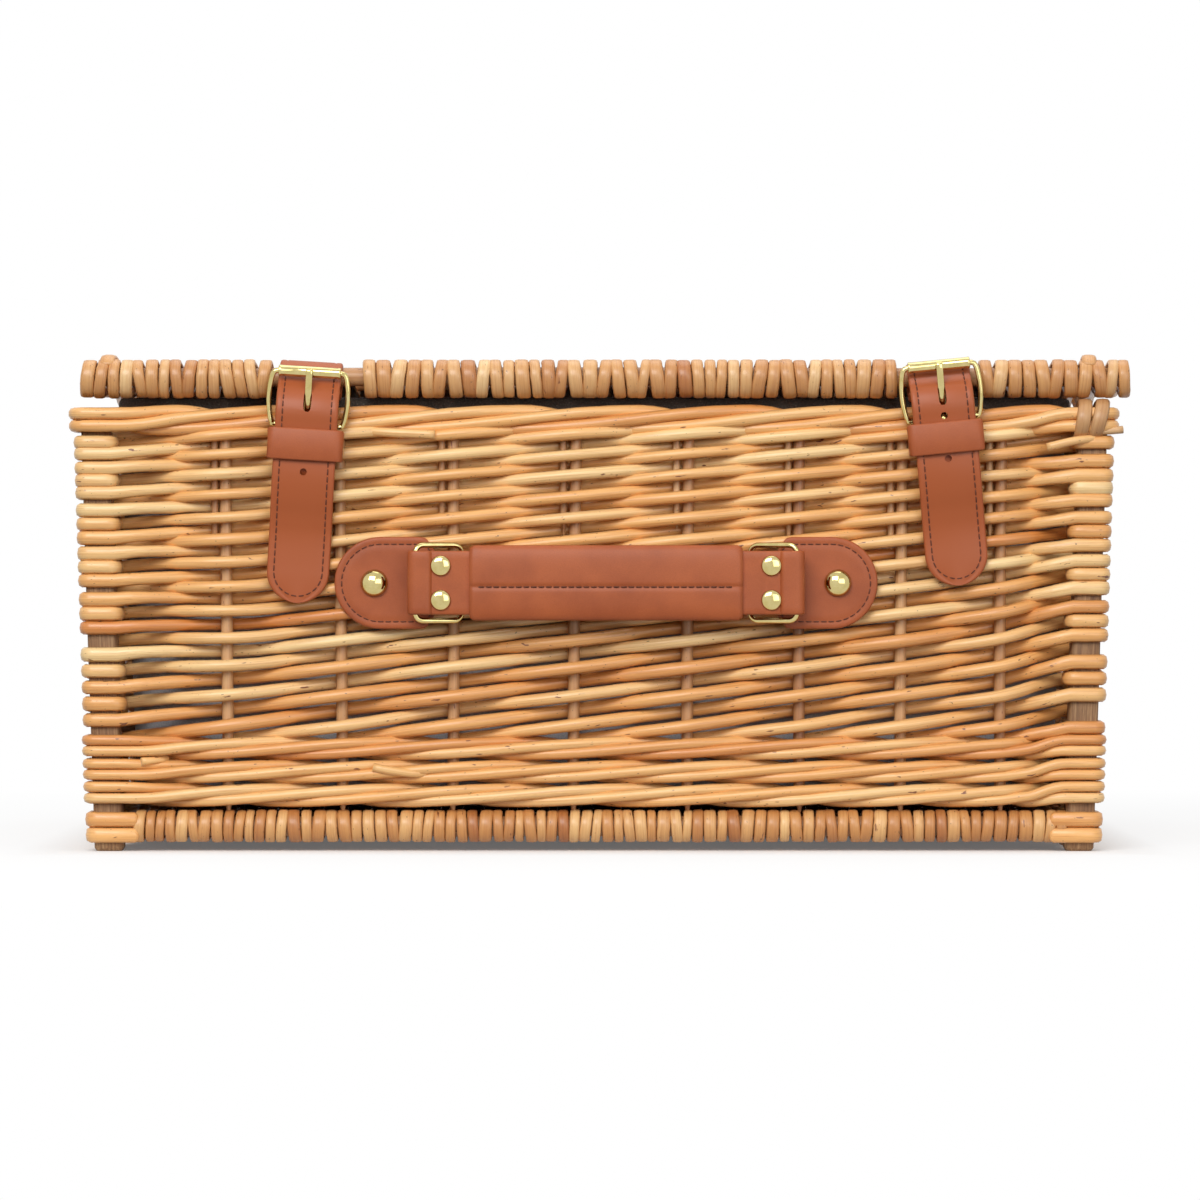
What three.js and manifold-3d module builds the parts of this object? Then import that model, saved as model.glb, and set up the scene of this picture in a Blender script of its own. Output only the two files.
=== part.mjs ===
// Wicker hamper: a willow basket with a hinged lid, two buckled straps and a padded handle.
// Millimetres, +Z up, the front faces -Y, and the origin is on the floor under the middle of the object.
import * as THREE from 'three';
import { mergeVertices } from 'three/addons/utils/BufferGeometryUtils.js';
import Module from 'manifold-3d';

const wasm = await Module();
wasm.setup();

// Fits
const CLEARANCE = 0.3;
const SHANK_CLEARANCE = 0.3;
const MERGE_DISTANCE = 1e-4;
const CURVE_SEGMENTS = 4;
const FOLD_STEP = 45;

// Corner posts: square sticks that lean outwards to the left and right
const POST_SIDE = 13;
const POST_CHAMFER = 2.5;
const POST_BOTTOM_X = 213.6;
const POST_TOP_X = 219.6;
const POST_SET_IN = 2.6;

// Upright stakes and the border at their top
const STAKE_PLANE_Y = 154;
const STAKE_RADIUS = 3;
const STAKE_SIDES = 6;
const LONG_WALL_STAKES = 8;
const STAKE_GAP_LEFT = 50.6;
const STAKE_GAP_RIGHT = 34.3;
const SIDE_STAKES = 6;
const BORDER_TOP_Z = 197.5;
const BORDER_ROD_RADIUS = 3.3;
const BORDER_ROD_SPREAD = 3.4;
const BORDER_ROD_STEP = 5.7;
const BORDER_LOWER_ARC = [-120, -75, -30, 15, 60];
const BORDER_UPPER_ARC = [20, 65, 115, 160];

// Wall weave
const WALL_ROWS = 29;
const SIDE_EXTRA_ROWS = 2;
const ROW_GAP = 1.1;
const WEAVE_GAP = 0.8;
const WEAVER_THICKNESS = 3.8;
const SIDE_WALL_GAP = 0.6;

// Base
const BASE_UNDERSIDE_Z = 3.1;
const BASE_ROD_RADIUS = 3.5;
const BASE_STICKS = 3;
const BASE_STICK_RADIUS = 3;
const BASE_WEAVER_THICKNESS = 3.2;
const BASE_WEAVER_WIDTH = 16.4;
const BASE_ROWS = 21;
const BASE_ROW_PITCH = 19;

// Turns of the flat weaver round the edge rods of the base and the lid
const TURN_STEPS = 3;

// Lid
const LID_SHIFT_X = 4;
const LID_WIDTH = 460;
const LID_ROD_Y = 154.5;
const LID_ROD_RADIUS = 4.1;
const LID_STICKS = 4;
const LID_STICK_RADIUS = 3;
const LID_WEAVER_THICKNESS = 3.6;
const LID_WEAVER_WIDTH = 12.6;
const LID_ROWS_BETWEEN_STRAPS = 18;
const LID_STICK_OVERHANG = 3;
const ROD_SIDES = 8;

// Liner
const LINER_THICKNESS = 1.6;
const LINER_GAP = 0.5;
const LINER_CORNER = 24;
const LINER_CORNER_STEPS = 4;
const LINER_TOP_DROP = 4.5;
const BINDING_HEIGHT = 4.7;
const BINDING_THICKNESS = 3.4;

// Leather hinges on the rear wall
const HINGE_WIDTH = 26;
const HINGE_LEATHER = 2;
const HINGE_LOOP_GAP = 0.4;
const HINGE_TAIL_Z = 152;
const HINGE_RIVET_Z = 162;
const HINGE_LOOP_END = 305;
const HINGE_LOOP_STEP = 30;

// Closures: strap, buckle, keeper and chape, placed at the buckle's heel bar, out from the handle's anchors
const CLOSURE_LEFT_GAP = 12;
const CLOSURE_LEFT_HEEL_Z = 187;
const CLOSURE_LEFT_TILT = 3.5;
const CLOSURE_LEFT_TIP_DROP = 78;
const CLOSURE_RIGHT_GAP = 28.8;
const CLOSURE_RIGHT_HEEL_Z = 190;
const CLOSURE_RIGHT_TILT = -5.5;
const CLOSURE_RIGHT_TIP_DROP = 73.5;
const STRAP_WIDTH = 27.5;
const STRAP_THICKNESS = 2;
const STRAP_LOOP_SLACK = 1.8;
const STRAP_STEPS = 15;
const STRAP_LOOP_ANGLES = [-140, -105, -70, -35, 0, 35, 70, 105, 140, 175];
const STRAP_TIP_ANGLES = [35, 60, 78];
const STRAP_HOLE_RADIUS = 1.8;
const STRAP_HOLE_PITCH = 16.5;
const STRAP_LOW_HOLES = 2;
const STRAP_TAIL_GAP = 0.6;
const PRONG_HOLE_RISE = 12.5;
const PRONG_SLOT_LENGTH = 10.5;
const CHAPE_WIDTH = 25;
const CHAPE_LEATHER = 1.5;
const CHAPE_STRAIGHT = 21.5;
const CHAPE_RIVET_DROP = 27.5;
const CHAPE_DROP = 31.5;
const BUCKLE_WIRE_RADIUS = 1.2;
const BUCKLE_HALF_WIDTH = 16.8;
const BUCKLE_OUTLINE = [
  { inset: 1.6, riseShare: 0 },
  { inset: 0.4, riseShare: 0.06 },
  { inset: -0.6, riseShare: 0.45 },
  { inset: 0, riseShare: 0.8 },
  { inset: 0.8, riseShare: 0.95 },
  { inset: 2, riseShare: 1 },
];
const BUCKLE_RISE = 23.5;
const BUCKLE_WIRE_SIDES = 6;
const ROLLER_RADIUS = 2.5;
const ROLLER_DEPTH = 5.2;
const ROLLER_SEGMENTS = 10;
const ROLLER_INSET = 3.2;
const PRONG_THICKNESS = 1.8;
const PRONG_WIDTH = 2.6;
const PRONG_OVERHANG = 1;
const KEEPER_LEATHER = 1.4;
const KEEPER_HEIGHT = 13;
const KEEPER_TOP_DROP = 3.7;
const KEEPER_INNER_HALF_WIDTH = 15.2;
const KEEPER_CORNER = 1.2;

// Handle
const HANDLE_X = 5.25;
const HANDLE_Z = 118;
const GRIP_LENGTH = 119.3;
const GRIP_HEIGHT = 33;
const GRIP_DEPTH = 8.4;
const GRIP_CORNER = 3.6;
const BAND_HEIGHT = 28;
const BAND_LEATHER = 1.8;
const BAND_GAP = 0.4;
const BAND_REACH = 86.85;
const BAND_RIVET_X = 72.25;
const BAND_RIVET_SPREAD = 7.5;
const BAND_NECK = 1.5;
const BAND_STANDOFF = 2.5;
const GRIP_HOLE_GAP = 0.3;
const RING_WIRE_RADIUS = 1.25;
const RING_HALF_HEIGHT = 16.5;
const RING_REACH = 20;
const RING_CORNER = 3;
const RING_WIRE_GAP = 0.45;
const TONGUE_LEATHER = 1.6;
const TONGUE_HEIGHT = 24;
const TONGUE_RETURN = 3;
const TONGUE_FOLD_START = 225;
const ANCHOR_LEATHER = 2;
const ANCHOR_REACH = 119.25;
const ANCHOR_HEIGHT = 40.4;
const ANCHOR_SHOULDER_X = 80;
const ANCHOR_NECK_X = 72;
const ANCHOR_ROOT_X = 69.5;
const ANCHOR_CURVE_SEGMENTS = 10;
const STUD_X = 101.75;

// Rivets and studs
const SHANK_RADIUS = 1.5;
const SHANK_DEPTH = 9;
const RIVET_HEAD_RADIUS = 4.5;
const RIVET_HEAD_HEIGHT = 2;
const CHAPE_HEAD_RADIUS = 3;
const CHAPE_HEAD_HEIGHT = 1.4;
const STUD_RADIUS = 6;
const STUD_HEIGHT = 4.4;
const BURR_RADIUS = 3;
const BURR_HEIGHT = 1.2;
const RIVET_SEGMENTS = 8;
const HOLE_SIDES = 6;
const HOLE_REACH = 27;
const HEAD_RIM_SHARE = 0.35;
const HEAD_SHOULDER_REACH = 0.6;
const HEAD_SHOULDER_SHARE = 0.82;

// Directions
const ALONG_X = new THREE.Vector3(1, 0, 0);
const ALONG_Z = new THREE.Vector3(0, 0, 1);
const FRONT = -1;
const REAR = 1;

// Worked out from the sizes above
const postHalf = POST_SIDE / 2;
const stakePitch = (2 * POST_BOTTOM_X - STAKE_GAP_LEFT - STAKE_GAP_RIGHT) / (LONG_WALL_STAKES - 1);
const postY = STAKE_PLANE_Y - POST_SET_IN;
const weaverReach = STAKE_RADIUS + WEAVE_GAP + WEAVER_THICKNESS / 2;
const postReach = postHalf + CLEARANCE + WEAVER_THICKNESS / 2;
const wallFace = STAKE_PLANE_Y + weaverReach + WEAVER_THICKNESS / 2;
const borderUpperZ = BORDER_TOP_Z - BORDER_ROD_RADIUS;
const borderLowerZ = borderUpperZ - BORDER_ROD_STEP;
const borderUndersideZ = borderLowerZ - BORDER_ROD_RADIUS;
const postTopZ = borderUndersideZ - CLEARANCE;
const turnStep = Math.PI / TURN_STEPS;
const baseReach = (BASE_ROD_RADIUS + CLEARANCE + BASE_WEAVER_THICKNESS / 2) / Math.cos(turnStep / 2);
const baseZ = BASE_UNDERSIDE_Z + baseReach + BASE_WEAVER_THICKNESS / 2;
const baseTopZ = baseZ + baseReach + BASE_WEAVER_THICKNESS / 2;
const wallBottomZ = baseTopZ + CLEARANCE;
const rowPitch = (borderUndersideZ - CLEARANCE - wallBottomZ) / WALL_ROWS;
const lidReach = (LID_ROD_RADIUS + CLEARANCE + LID_WEAVER_THICKNESS / 2) / Math.cos(turnStep / 2);
const lidZ = BORDER_TOP_Z + CLEARANCE + lidReach + LID_WEAVER_THICKNESS / 2;
const shankHoleRadius = (SHANK_RADIUS + SHANK_CLEARANCE) / Math.cos(Math.PI / HOLE_SIDES);

const closures = [
  {
    side: 'left',
    x: HANDLE_X - ANCHOR_REACH - CLOSURE_LEFT_GAP,
    heelZ: CLOSURE_LEFT_HEEL_Z,
    tilt: CLOSURE_LEFT_TILT,
    tipDrop: CLOSURE_LEFT_TIP_DROP,
  },
  {
    side: 'right',
    x: HANDLE_X + ANCHOR_REACH + CLOSURE_RIGHT_GAP,
    heelZ: CLOSURE_RIGHT_HEEL_Z,
    tilt: CLOSURE_RIGHT_TILT,
    tipDrop: CLOSURE_RIGHT_TIP_DROP,
  },
];

// Depths in front of the wall face, for the closures
const chapeBackDepth = CLEARANCE + CHAPE_LEATHER / 2;
const heelFoldRadius = BUCKLE_WIRE_RADIUS + CLEARANCE + CHAPE_LEATHER / 2;
const heelDepth = chapeBackDepth + heelFoldRadius;
const chapeFrontDepth = heelDepth + heelFoldRadius;
const chapeClosedDepth = chapeBackDepth + CHAPE_LEATHER + CLEARANCE;
const strapDepth = chapeFrontDepth + CHAPE_LEATHER / 2 + CLEARANCE + STRAP_THICKNESS / 2;
const hookRadius = BUCKLE_WIRE_RADIUS + CLEARANCE + PRONG_THICKNESS / 2;
const prongHeelDepth = heelDepth + hookRadius;
const strapOverProng = PRONG_THICKNESS / 2 + 2 * CLEARANCE + STRAP_THICKNESS / 2;
const strapHeelDepth = prongHeelDepth + strapOverProng;
const keeperFrontDepth = strapHeelDepth + STRAP_THICKNESS / 2 + CLEARANCE + KEEPER_LEATHER / 2;
const prongTipDepth = ROLLER_DEPTH + ROLLER_RADIUS + CLEARANCE + PRONG_THICKNESS / 2;

// Depths in front of the wall face, for the handle
const tongueRadius = RING_WIRE_RADIUS + CLEARANCE + TONGUE_LEATHER / 2;
const tongueDepth = CLEARANCE + TONGUE_LEATHER / 2;
const innerWireDepth = tongueDepth + tongueRadius;
const bandHalfGap = BAND_GAP / 2 + BAND_LEATHER / 2;
const pocketHalfGap = RING_WIRE_RADIUS + RING_WIRE_GAP + BAND_LEATHER / 2;
const bandDepth = innerWireDepth + tongueRadius + TONGUE_LEATHER / 2 + BAND_STANDOFF + CLEARANCE
  + BAND_LEATHER / 2 + bandHalfGap;
const outerWireX = BAND_REACH - BAND_LEATHER / 2 - pocketHalfGap;
const innerWireX = outerWireX - RING_REACH;
const anchorFrontDepth = CLEARANCE + ANCHOR_LEATHER;

// The whole object is centred over its origin from the front of the grip to the rear rivets
const hingeTailDepth = CLEARANCE + HINGE_LEATHER / 2;
const hingeFaceDepth = hingeTailDepth + HINGE_LEATHER / 2;
const frontExtent = bandDepth + GRIP_DEPTH / 2;
const rearExtent = hingeFaceDepth + CLEARANCE + RIVET_HEAD_HEIGHT;
const setBack = (frontExtent - rearExtent) / 2;

// Materials
const willow = new THREE.MeshStandardMaterial({ color: 0xd9a066, roughness: 0.45, metalness: 0 });
const stakeWood = new THREE.MeshStandardMaterial({ color: 0xc48a52, roughness: 0.5, metalness: 0 });
const postWood = new THREE.MeshStandardMaterial({ color: 0x96734f, roughness: 0.65, metalness: 0 });
const leather = new THREE.MeshStandardMaterial({ color: 0xb2623e, roughness: 0.5, metalness: 0 });
const brass = new THREE.MeshStandardMaterial({ color: 0xe1d28c, roughness: 0.2, metalness: 1 });
const linerCloth = new THREE.MeshStandardMaterial({ color: 0x969696, roughness: 0.95, metalness: 0 });
const bindingCloth = new THREE.MeshStandardMaterial({ color: 0x322a24, roughness: 0.95, metalness: 0 });

// Solids

function signedVolume(geometry) {
  const places = geometry.getAttribute('position');
  const corners = geometry.getIndex().array;
  const a = new THREE.Vector3();
  const b = new THREE.Vector3();
  const c = new THREE.Vector3();
  let volume = 0;
  for (let corner = 0; corner < corners.length; corner += 3) {
    a.fromBufferAttribute(places, corners[corner]);
    b.fromBufferAttribute(places, corners[corner + 1]);
    c.fromBufferAttribute(places, corners[corner + 2]);
    volume += a.dot(b.cross(c)) / 6;
  }
  return volume;
}

function facingOut(geometry) {
  if (signedVolume(geometry) < 0) {
    const corners = geometry.getIndex().array;
    for (let corner = 0; corner < corners.length; corner += 3) {
      const second = corners[corner + 1];
      corners[corner + 1] = corners[corner + 2];
      corners[corner + 2] = second;
    }
  }
  return geometry;
}

// Joins a row of rings with as many corners each into one closed skin
function skin(rings, loop = false) {
  const sides = rings[0].length;
  const positions = rings.flat().flatMap((point) => [point.x, point.y, point.z]);
  const triangles = [];
  const spans = loop ? rings.length : rings.length - 1;
  for (let ring = 0; ring < spans; ring += 1) {
    const here = ring * sides;
    const next = ((ring + 1) % rings.length) * sides;
    for (let side = 0; side < sides; side += 1) {
      const beside = (side + 1) % sides;
      triangles.push(here + side, here + beside, next + beside);
      triangles.push(here + side, next + beside, next + side);
    }
  }
  if (!loop) {
    const last = (rings.length - 1) * sides;
    for (let side = 1; side < sides - 1; side += 1) {
      triangles.push(0, side + 1, side);
      triangles.push(last, last + side, last + side + 1);
    }
  }
  const geometry = new THREE.BufferGeometry();
  geometry.setAttribute('position', new THREE.Float32BufferAttribute(positions, 3));
  geometry.setIndex(triangles);
  return facingOut(geometry);
}

function headingAcross(from, to, across) {
  const heading = to.clone().sub(from);
  heading.addScaledVector(across, -heading.dot(across));
  return heading.normalize();
}

// Sweeps a section along a path, with one side of the section always along the direction across.
// The section gives corners as [distance along across, distance along the path's own normal].
function sweep(path, across, sectionAt, loop = false) {
  const last = path.length - 1;
  const rings = path.map((point, index) => {
    const before = index > 0 ? path[index - 1] : path[last];
    const after = index < last ? path[index + 1] : path[0];
    const opensHere = index === 0 && !loop;
    const endsHere = index === last && !loop;
    const leaving = endsHere ? null : headingAcross(point, after, across);
    const arriving = opensHere ? leaving : headingAcross(before, point, across);
    const normalIn = arriving.clone().cross(across);
    const normalOut = (leaving ?? arriving).clone().cross(across);
    const normal = normalIn.clone().add(normalOut).normalize();
    const mitre = 1 / normal.dot(normalIn);
    return sectionAt(index).map(([sideways, outwards]) => point.clone()
      .addScaledVector(across, sideways)
      .addScaledVector(normal, outwards * mitre));
  });
  return skin(rings, loop);
}

function flatSection(width, thickness) {
  const half = width / 2;
  const deep = thickness / 2;
  return [[-half, -deep], [half, -deep], [half, deep], [-half, deep]];
}

function rodSection(height, thickness) {
  const half = height / 2;
  const deep = thickness / 2;
  return [[-half, 0], [0, -deep], [half, 0], [0, deep]];
}

function wireSection(radius, sides) {
  return Array.from({ length: sides }, (_, side) => {
    const angle = (side / sides) * Math.PI * 2;
    return [radius * Math.cos(angle), radius * Math.sin(angle)];
  });
}

// A solid of revolution about Y, without the seam and the empty triangles at its poles
function turned(profile, segments) {
  const lathe = new THREE.LatheGeometry(profile, segments);
  lathe.deleteAttribute('normal');
  lathe.deleteAttribute('uv');
  const merged = mergeVertices(lathe, MERGE_DISTANCE);
  const corners = merged.getIndex().array;
  const kept = [];
  for (let corner = 0; corner < corners.length; corner += 3) {
    const [a, b, c] = corners.slice(corner, corner + 3);
    if (a !== b && b !== c && c !== a) {
      kept.push(a, b, c);
    }
  }
  merged.setIndex(kept);
  return facingOut(merged);
}

function rodBetween(from, to, radius, sides) {
  const span = to.clone().sub(from);
  const flatFirst = Math.PI / sides;
  const geometry = new THREE.CylinderGeometry(radius, radius, span.length(), sides, 1, false, flatFirst);
  const upright = new THREE.Vector3(0, 1, 0);
  const turn = new THREE.Quaternion().setFromUnitVectors(upright, span.clone().normalize());
  geometry.applyQuaternion(turn);
  const middle = from.clone().add(to).multiplyScalar(0.5);
  return geometry.translate(middle.x, middle.y, middle.z);
}

// Extrudes an outline in Y and Z along X, with its middle at X = 0
function alongX(outline, length) {
  const geometry = new THREE.ExtrudeGeometry(outline, {
    depth: length,
    bevelEnabled: false,
    curveSegments: CURVE_SEGMENTS,
  });
  geometry.translate(0, 0, -length / 2);
  geometry.rotateX(Math.PI / 2);
  return geometry.rotateZ(Math.PI / 2);
}

function toSolid(geometry) {
  const bare = geometry.clone();
  bare.deleteAttribute('normal');
  bare.deleteAttribute('uv');
  const merged = mergeVertices(bare, MERGE_DISTANCE);
  return new wasm.Manifold(new wasm.Mesh({
    numProp: 3,
    vertProperties: new Float32Array(merged.getAttribute('position').array),
    triVerts: new Uint32Array(merged.getIndex().array),
  }));
}

function toGeometry(solid) {
  const mesh = solid.getMesh();
  const geometry = new THREE.BufferGeometry();
  geometry.setAttribute('position', new THREE.BufferAttribute(new Float32Array(mesh.vertProperties), 3));
  geometry.setIndex(new THREE.BufferAttribute(new Uint32Array(mesh.triVerts), 1));
  return geometry;
}

function join(geometries) {
  const solids = geometries.map(toSolid);
  return toGeometry(solids.reduce((whole, next) => whole.add(next)));
}

function cut(geometry, tools) {
  const solids = tools.map(toSolid);
  return toGeometry(solids.reduce((whole, tool) => whole.subtract(tool), toSolid(geometry)));
}

function piece(name, geometry, material) {
  const mesh = new THREE.Mesh(geometry, material);
  mesh.name = name;
  return mesh;
}

function radians(degrees) {
  return THREE.MathUtils.degToRad(degrees);
}

// Shank hole through a wall, along Y
function wallHole({ x, z }, side) {
  const from = new THREE.Vector3(x, side * (wallFace - 2 * SHANK_DEPTH), z);
  const to = new THREE.Vector3(x, side * (wallFace + SHANK_DEPTH), z);
  return rodBetween(from, to, shankHoleRadius, HOLE_SIDES);
}

// A domed head on a shank, turned about Y, with its head towards the given side.
// Depths are measured in front of the wall face.
function rivet(headRadius, headHeight, seatDepth, shankEnd, burrSeat = null) {
  const profile = [
    new THREE.Vector2(0, seatDepth + headHeight),
    new THREE.Vector2(headRadius * HEAD_SHOULDER_REACH, seatDepth + headHeight * HEAD_SHOULDER_SHARE),
    new THREE.Vector2(headRadius, seatDepth + headHeight * HEAD_RIM_SHARE),
    new THREE.Vector2(headRadius, seatDepth),
    new THREE.Vector2(SHANK_RADIUS, seatDepth),
  ];
  if (burrSeat === null) {
    profile.push(new THREE.Vector2(SHANK_RADIUS, shankEnd));
  } else {
    profile.push(new THREE.Vector2(SHANK_RADIUS, burrSeat));
    profile.push(new THREE.Vector2(BURR_RADIUS, burrSeat));
    profile.push(new THREE.Vector2(BURR_RADIUS, shankEnd));
  }
  profile.push(new THREE.Vector2(0, shankEnd));
  return turned(profile.reverse(), RIVET_SEGMENTS);
}

function placeOnWall(mesh, x, z, side) {
  mesh.position.set(x, side * wallFace, z);
  mesh.rotation.x = side === FRONT ? Math.PI : 0;
  return mesh;
}

// Basket

function postX(z) {
  return POST_BOTTOM_X + (POST_TOP_X - POST_BOTTOM_X) * (z / postTopZ);
}

function rowZ(row) {
  return wallBottomZ + rowPitch * (row + 0.5);
}

function stakeX(index, side) {
  return -side * (STAKE_GAP_LEFT - POST_BOTTOM_X + stakePitch * index);
}

function postSolid(sideX, sideY) {
  const inner = postHalf - POST_CHAMFER;
  const outline = [
    [postHalf, -inner], [postHalf, inner], [inner, postHalf], [-inner, postHalf],
    [-postHalf, inner], [-postHalf, -inner], [-inner, -postHalf], [inner, -postHalf],
  ];
  const rings = [0, postTopZ].map((z) => outline.map(([x, y]) => new THREE.Vector3(
    sideX * postX(z) + x,
    sideY * postY + y,
    z,
  )));
  return skin(rings);
}

const sideTurnAngle = Math.PI / 6;
const sideTurnReach = weaverReach / Math.cos(sideTurnAngle);
const sideEndStakeY = postY - postReach - WEAVER_THICKNESS / 2 - SIDE_WALL_GAP
  - sideTurnReach - WEAVER_THICKNESS / 2 / Math.cos(sideTurnAngle);

function sideStakeY(index) {
  return -sideEndStakeY + (2 * sideEndStakeY * index) / (SIDE_STAKES - 1);
}

// The border's three rods bedded together, as one bundle along X over the stake plane
function borderBundle(halfLength) {
  const mirrorArc = BORDER_LOWER_ARC.map((angle) => 180 - angle).reverse();
  const rods = [
    { offset: BORDER_ROD_SPREAD, z: borderLowerZ, angles: BORDER_LOWER_ARC },
    { offset: 0, z: borderUpperZ, angles: BORDER_UPPER_ARC },
    { offset: -BORDER_ROD_SPREAD, z: borderLowerZ, angles: mirrorArc },
  ];
  const outline = rods.flatMap(({ offset, z, angles }) => angles.map((angle) => new THREE.Vector2(
    offset + BORDER_ROD_RADIUS * Math.cos(radians(angle)),
    z + BORDER_ROD_RADIUS * Math.sin(radians(angle)),
  )));
  outline.push(new THREE.Vector2(0, borderLowerZ - BORDER_ROD_RADIUS / 3));
  return alongX(new THREE.Shape(outline), 2 * halfLength);
}

// Stakes of the front or rear wall, joined with the border that they run into
function longStakes(side, holes) {
  const planeY = side * STAKE_PLANE_Y;
  const reach = POST_TOP_X + BORDER_ROD_SPREAD + BORDER_ROD_RADIUS;
  const solids = [borderBundle(reach).translate(0, planeY, 0)];
  for (let index = 0; index < LONG_WALL_STAKES; index += 1) {
    const x = stakeX(index, side);
    const foot = new THREE.Vector3(x, planeY, wallBottomZ);
    const top = new THREE.Vector3(x, planeY, borderLowerZ);
    solids.push(rodBetween(foot, top, STAKE_RADIUS, STAKE_SIDES));
  }
  return cut(join(solids), holes.map((hole) => wallHole(hole, side)));
}

// Stakes of the left or right wall, leaning with the posts, joined with their border
function sideStakes(side) {
  const reach = STAKE_PLANE_Y - BORDER_ROD_SPREAD - BORDER_ROD_RADIUS - CLEARANCE;
  const border = borderBundle(reach).rotateZ(Math.PI / 2);
  const solids = [border.translate(side * postX(borderLowerZ), 0, 0)];
  for (let index = 0; index < SIDE_STAKES; index += 1) {
    const y = sideStakeY(index);
    const foot = new THREE.Vector3(side * postX(BASE_UNDERSIDE_Z), y, BASE_UNDERSIDE_Z);
    const top = new THREE.Vector3(side * postX(borderLowerZ), y, borderLowerZ);
    solids.push(rodBetween(foot, top, STAKE_RADIUS, STAKE_SIDES));
  }
  return join(solids);
}

// One weaver for a long wall: row after row, in front of one stake and behind the next,
// turning round the corner post at the end of each row
function longWeave(side, holes) {
  const path = [];
  const corner = postReach - POST_CHAMFER - CLEARANCE;
  const roundPost = [
    [-corner, postReach], [corner, postReach], [postReach, corner],
    [postReach, -corner], [corner, -postReach], [-corner, -postReach],
  ];
  for (let row = 0; row < WALL_ROWS; row += 1) {
    const z = rowZ(row);
    const heading = row % 2 === 0 ? 1 : -1;
    if (row === 0) {
      const insideY = side * (postY - postReach);
      path.push(new THREE.Vector3(-heading * postX(z), insideY, z));
      path.push(new THREE.Vector3(-heading * (postX(z) - corner), insideY, z));
    }
    for (let step = 0; step < LONG_WALL_STAKES; step += 1) {
      const index = heading * -side > 0 ? step : LONG_WALL_STAKES - 1 - step;
      const outside = step % 2 === 0 ? 1 : -1;
      path.push(new THREE.Vector3(
        stakeX(index, side),
        side * (STAKE_PLANE_Y + outside * weaverReach),
        z,
      ));
    }
    const turn = row < WALL_ROWS - 1 ? roundPost : roundPost.slice(0, 2);
    turn.forEach(([outX, outY], step) => {
      const turnZ = z + rowPitch * THREE.MathUtils.clamp((step - 1) / 3, 0, 1);
      path.push(new THREE.Vector3(heading * (postX(turnZ) + outX), side * (postY + outY), turnZ));
    });
  }
  const section = rodSection(rowPitch - ROW_GAP, WEAVER_THICKNESS);
  const weave = sweep(path, ALONG_Z, () => section);
  return cut(weave, holes.map((hole) => wallHole(hole, side)));
}

// One weaver for a side wall, turning round the wall's own end stakes
function sideWeave(side) {
  const path = [];
  for (let row = -SIDE_EXTRA_ROWS; row < WALL_ROWS; row += 1) {
    const z = rowZ(row);
    const even = Math.abs(row) % 2 === 0;
    const heading = even ? 1 : -1;
    for (let step = 0; step < SIDE_STAKES; step += 1) {
      const index = even ? step : SIDE_STAKES - 1 - step;
      const outside = step % 2 === 0 ? 1 : -1;
      path.push(new THREE.Vector3(
        side * (postX(z) + outside * weaverReach),
        sideStakeY(index),
        z,
      ));
    }
    if (row < WALL_ROWS - 1) {
      [-1, 1].forEach((outside, step) => {
        const turn = sideTurnAngle * outside;
        const turnZ = z + (rowPitch * (step + 1)) / 3;
        path.push(new THREE.Vector3(
          side * (postX(turnZ) + sideTurnReach * Math.sin(turn)),
          heading * (sideEndStakeY + sideTurnReach * Math.cos(turn)),
          turnZ,
        ));
      });
    }
  }
  const section = rodSection(rowPitch - ROW_GAP, WEAVER_THICKNESS);
  return sweep(path, ALONG_Z, () => section);
}

// Square work for the lid and the base: sticks along X, one flat weaver along Y that passes over and
// under them and turns round the outermost one at either end. In a slot it turns one stick earlier.
function squareWork({ stickYs, edgeReach, stickReach, rowXs, firstRow, width, thickness, z, slotAt }) {
  const path = [];
  const lastStick = stickYs.length - 1;
  const turnReach = (stick) => (
    stick === 0 || stick === lastStick ? edgeReach : stickReach / Math.cos(turnStep / 2)
  );
  rowXs.forEach((x, place) => {
    const row = firstRow + place;
    const toFront = Math.abs(row) % 2 === 0;
    const startSlot = place > 0 && slotAt(row, !toFront) ? 1 : 0;
    const endSlot = place < rowXs.length - 1 && slotAt(row, toFront) ? 1 : 0;
    const first = toFront ? lastStick - startSlot : startSlot;
    const last = toFront ? endSlot : lastStick - endSlot;
    const stride = toFront ? -1 : 1;
    for (let stick = first; stick !== last + stride; stick += stride) {
      const above = (stick + (toFront ? 1 : 0)) % 2 === 0 ? 1 : -1;
      const reach = stick === first || stick === last ? turnReach(stick) : stickReach;
      path.push(new THREE.Vector3(x, stickYs[stick], z + above * reach));
    }
    if (place < rowXs.length - 1) {
      const from = (last + (toFront ? 1 : 0)) % 2 === 0 ? 1 : -1;
      const reach = turnReach(last);
      for (let step = 1; step < TURN_STEPS; step += 1) {
        const angle = turnStep * step;
        path.push(new THREE.Vector3(
          x + ((rowXs[place + 1] - x) * step) / TURN_STEPS,
          stickYs[last] + stride * reach * Math.sin(angle),
          z + from * reach * Math.cos(angle),
        ));
      }
    }
  });
  const section = flatSection(width, thickness);
  return sweep(path, ALONG_X, () => section);
}

function evenSpread(halfSpan, inside) {
  return Array.from({ length: inside + 2 }, (_, index) => -halfSpan + (2 * halfSpan * index) / (inside + 1));
}

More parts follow.
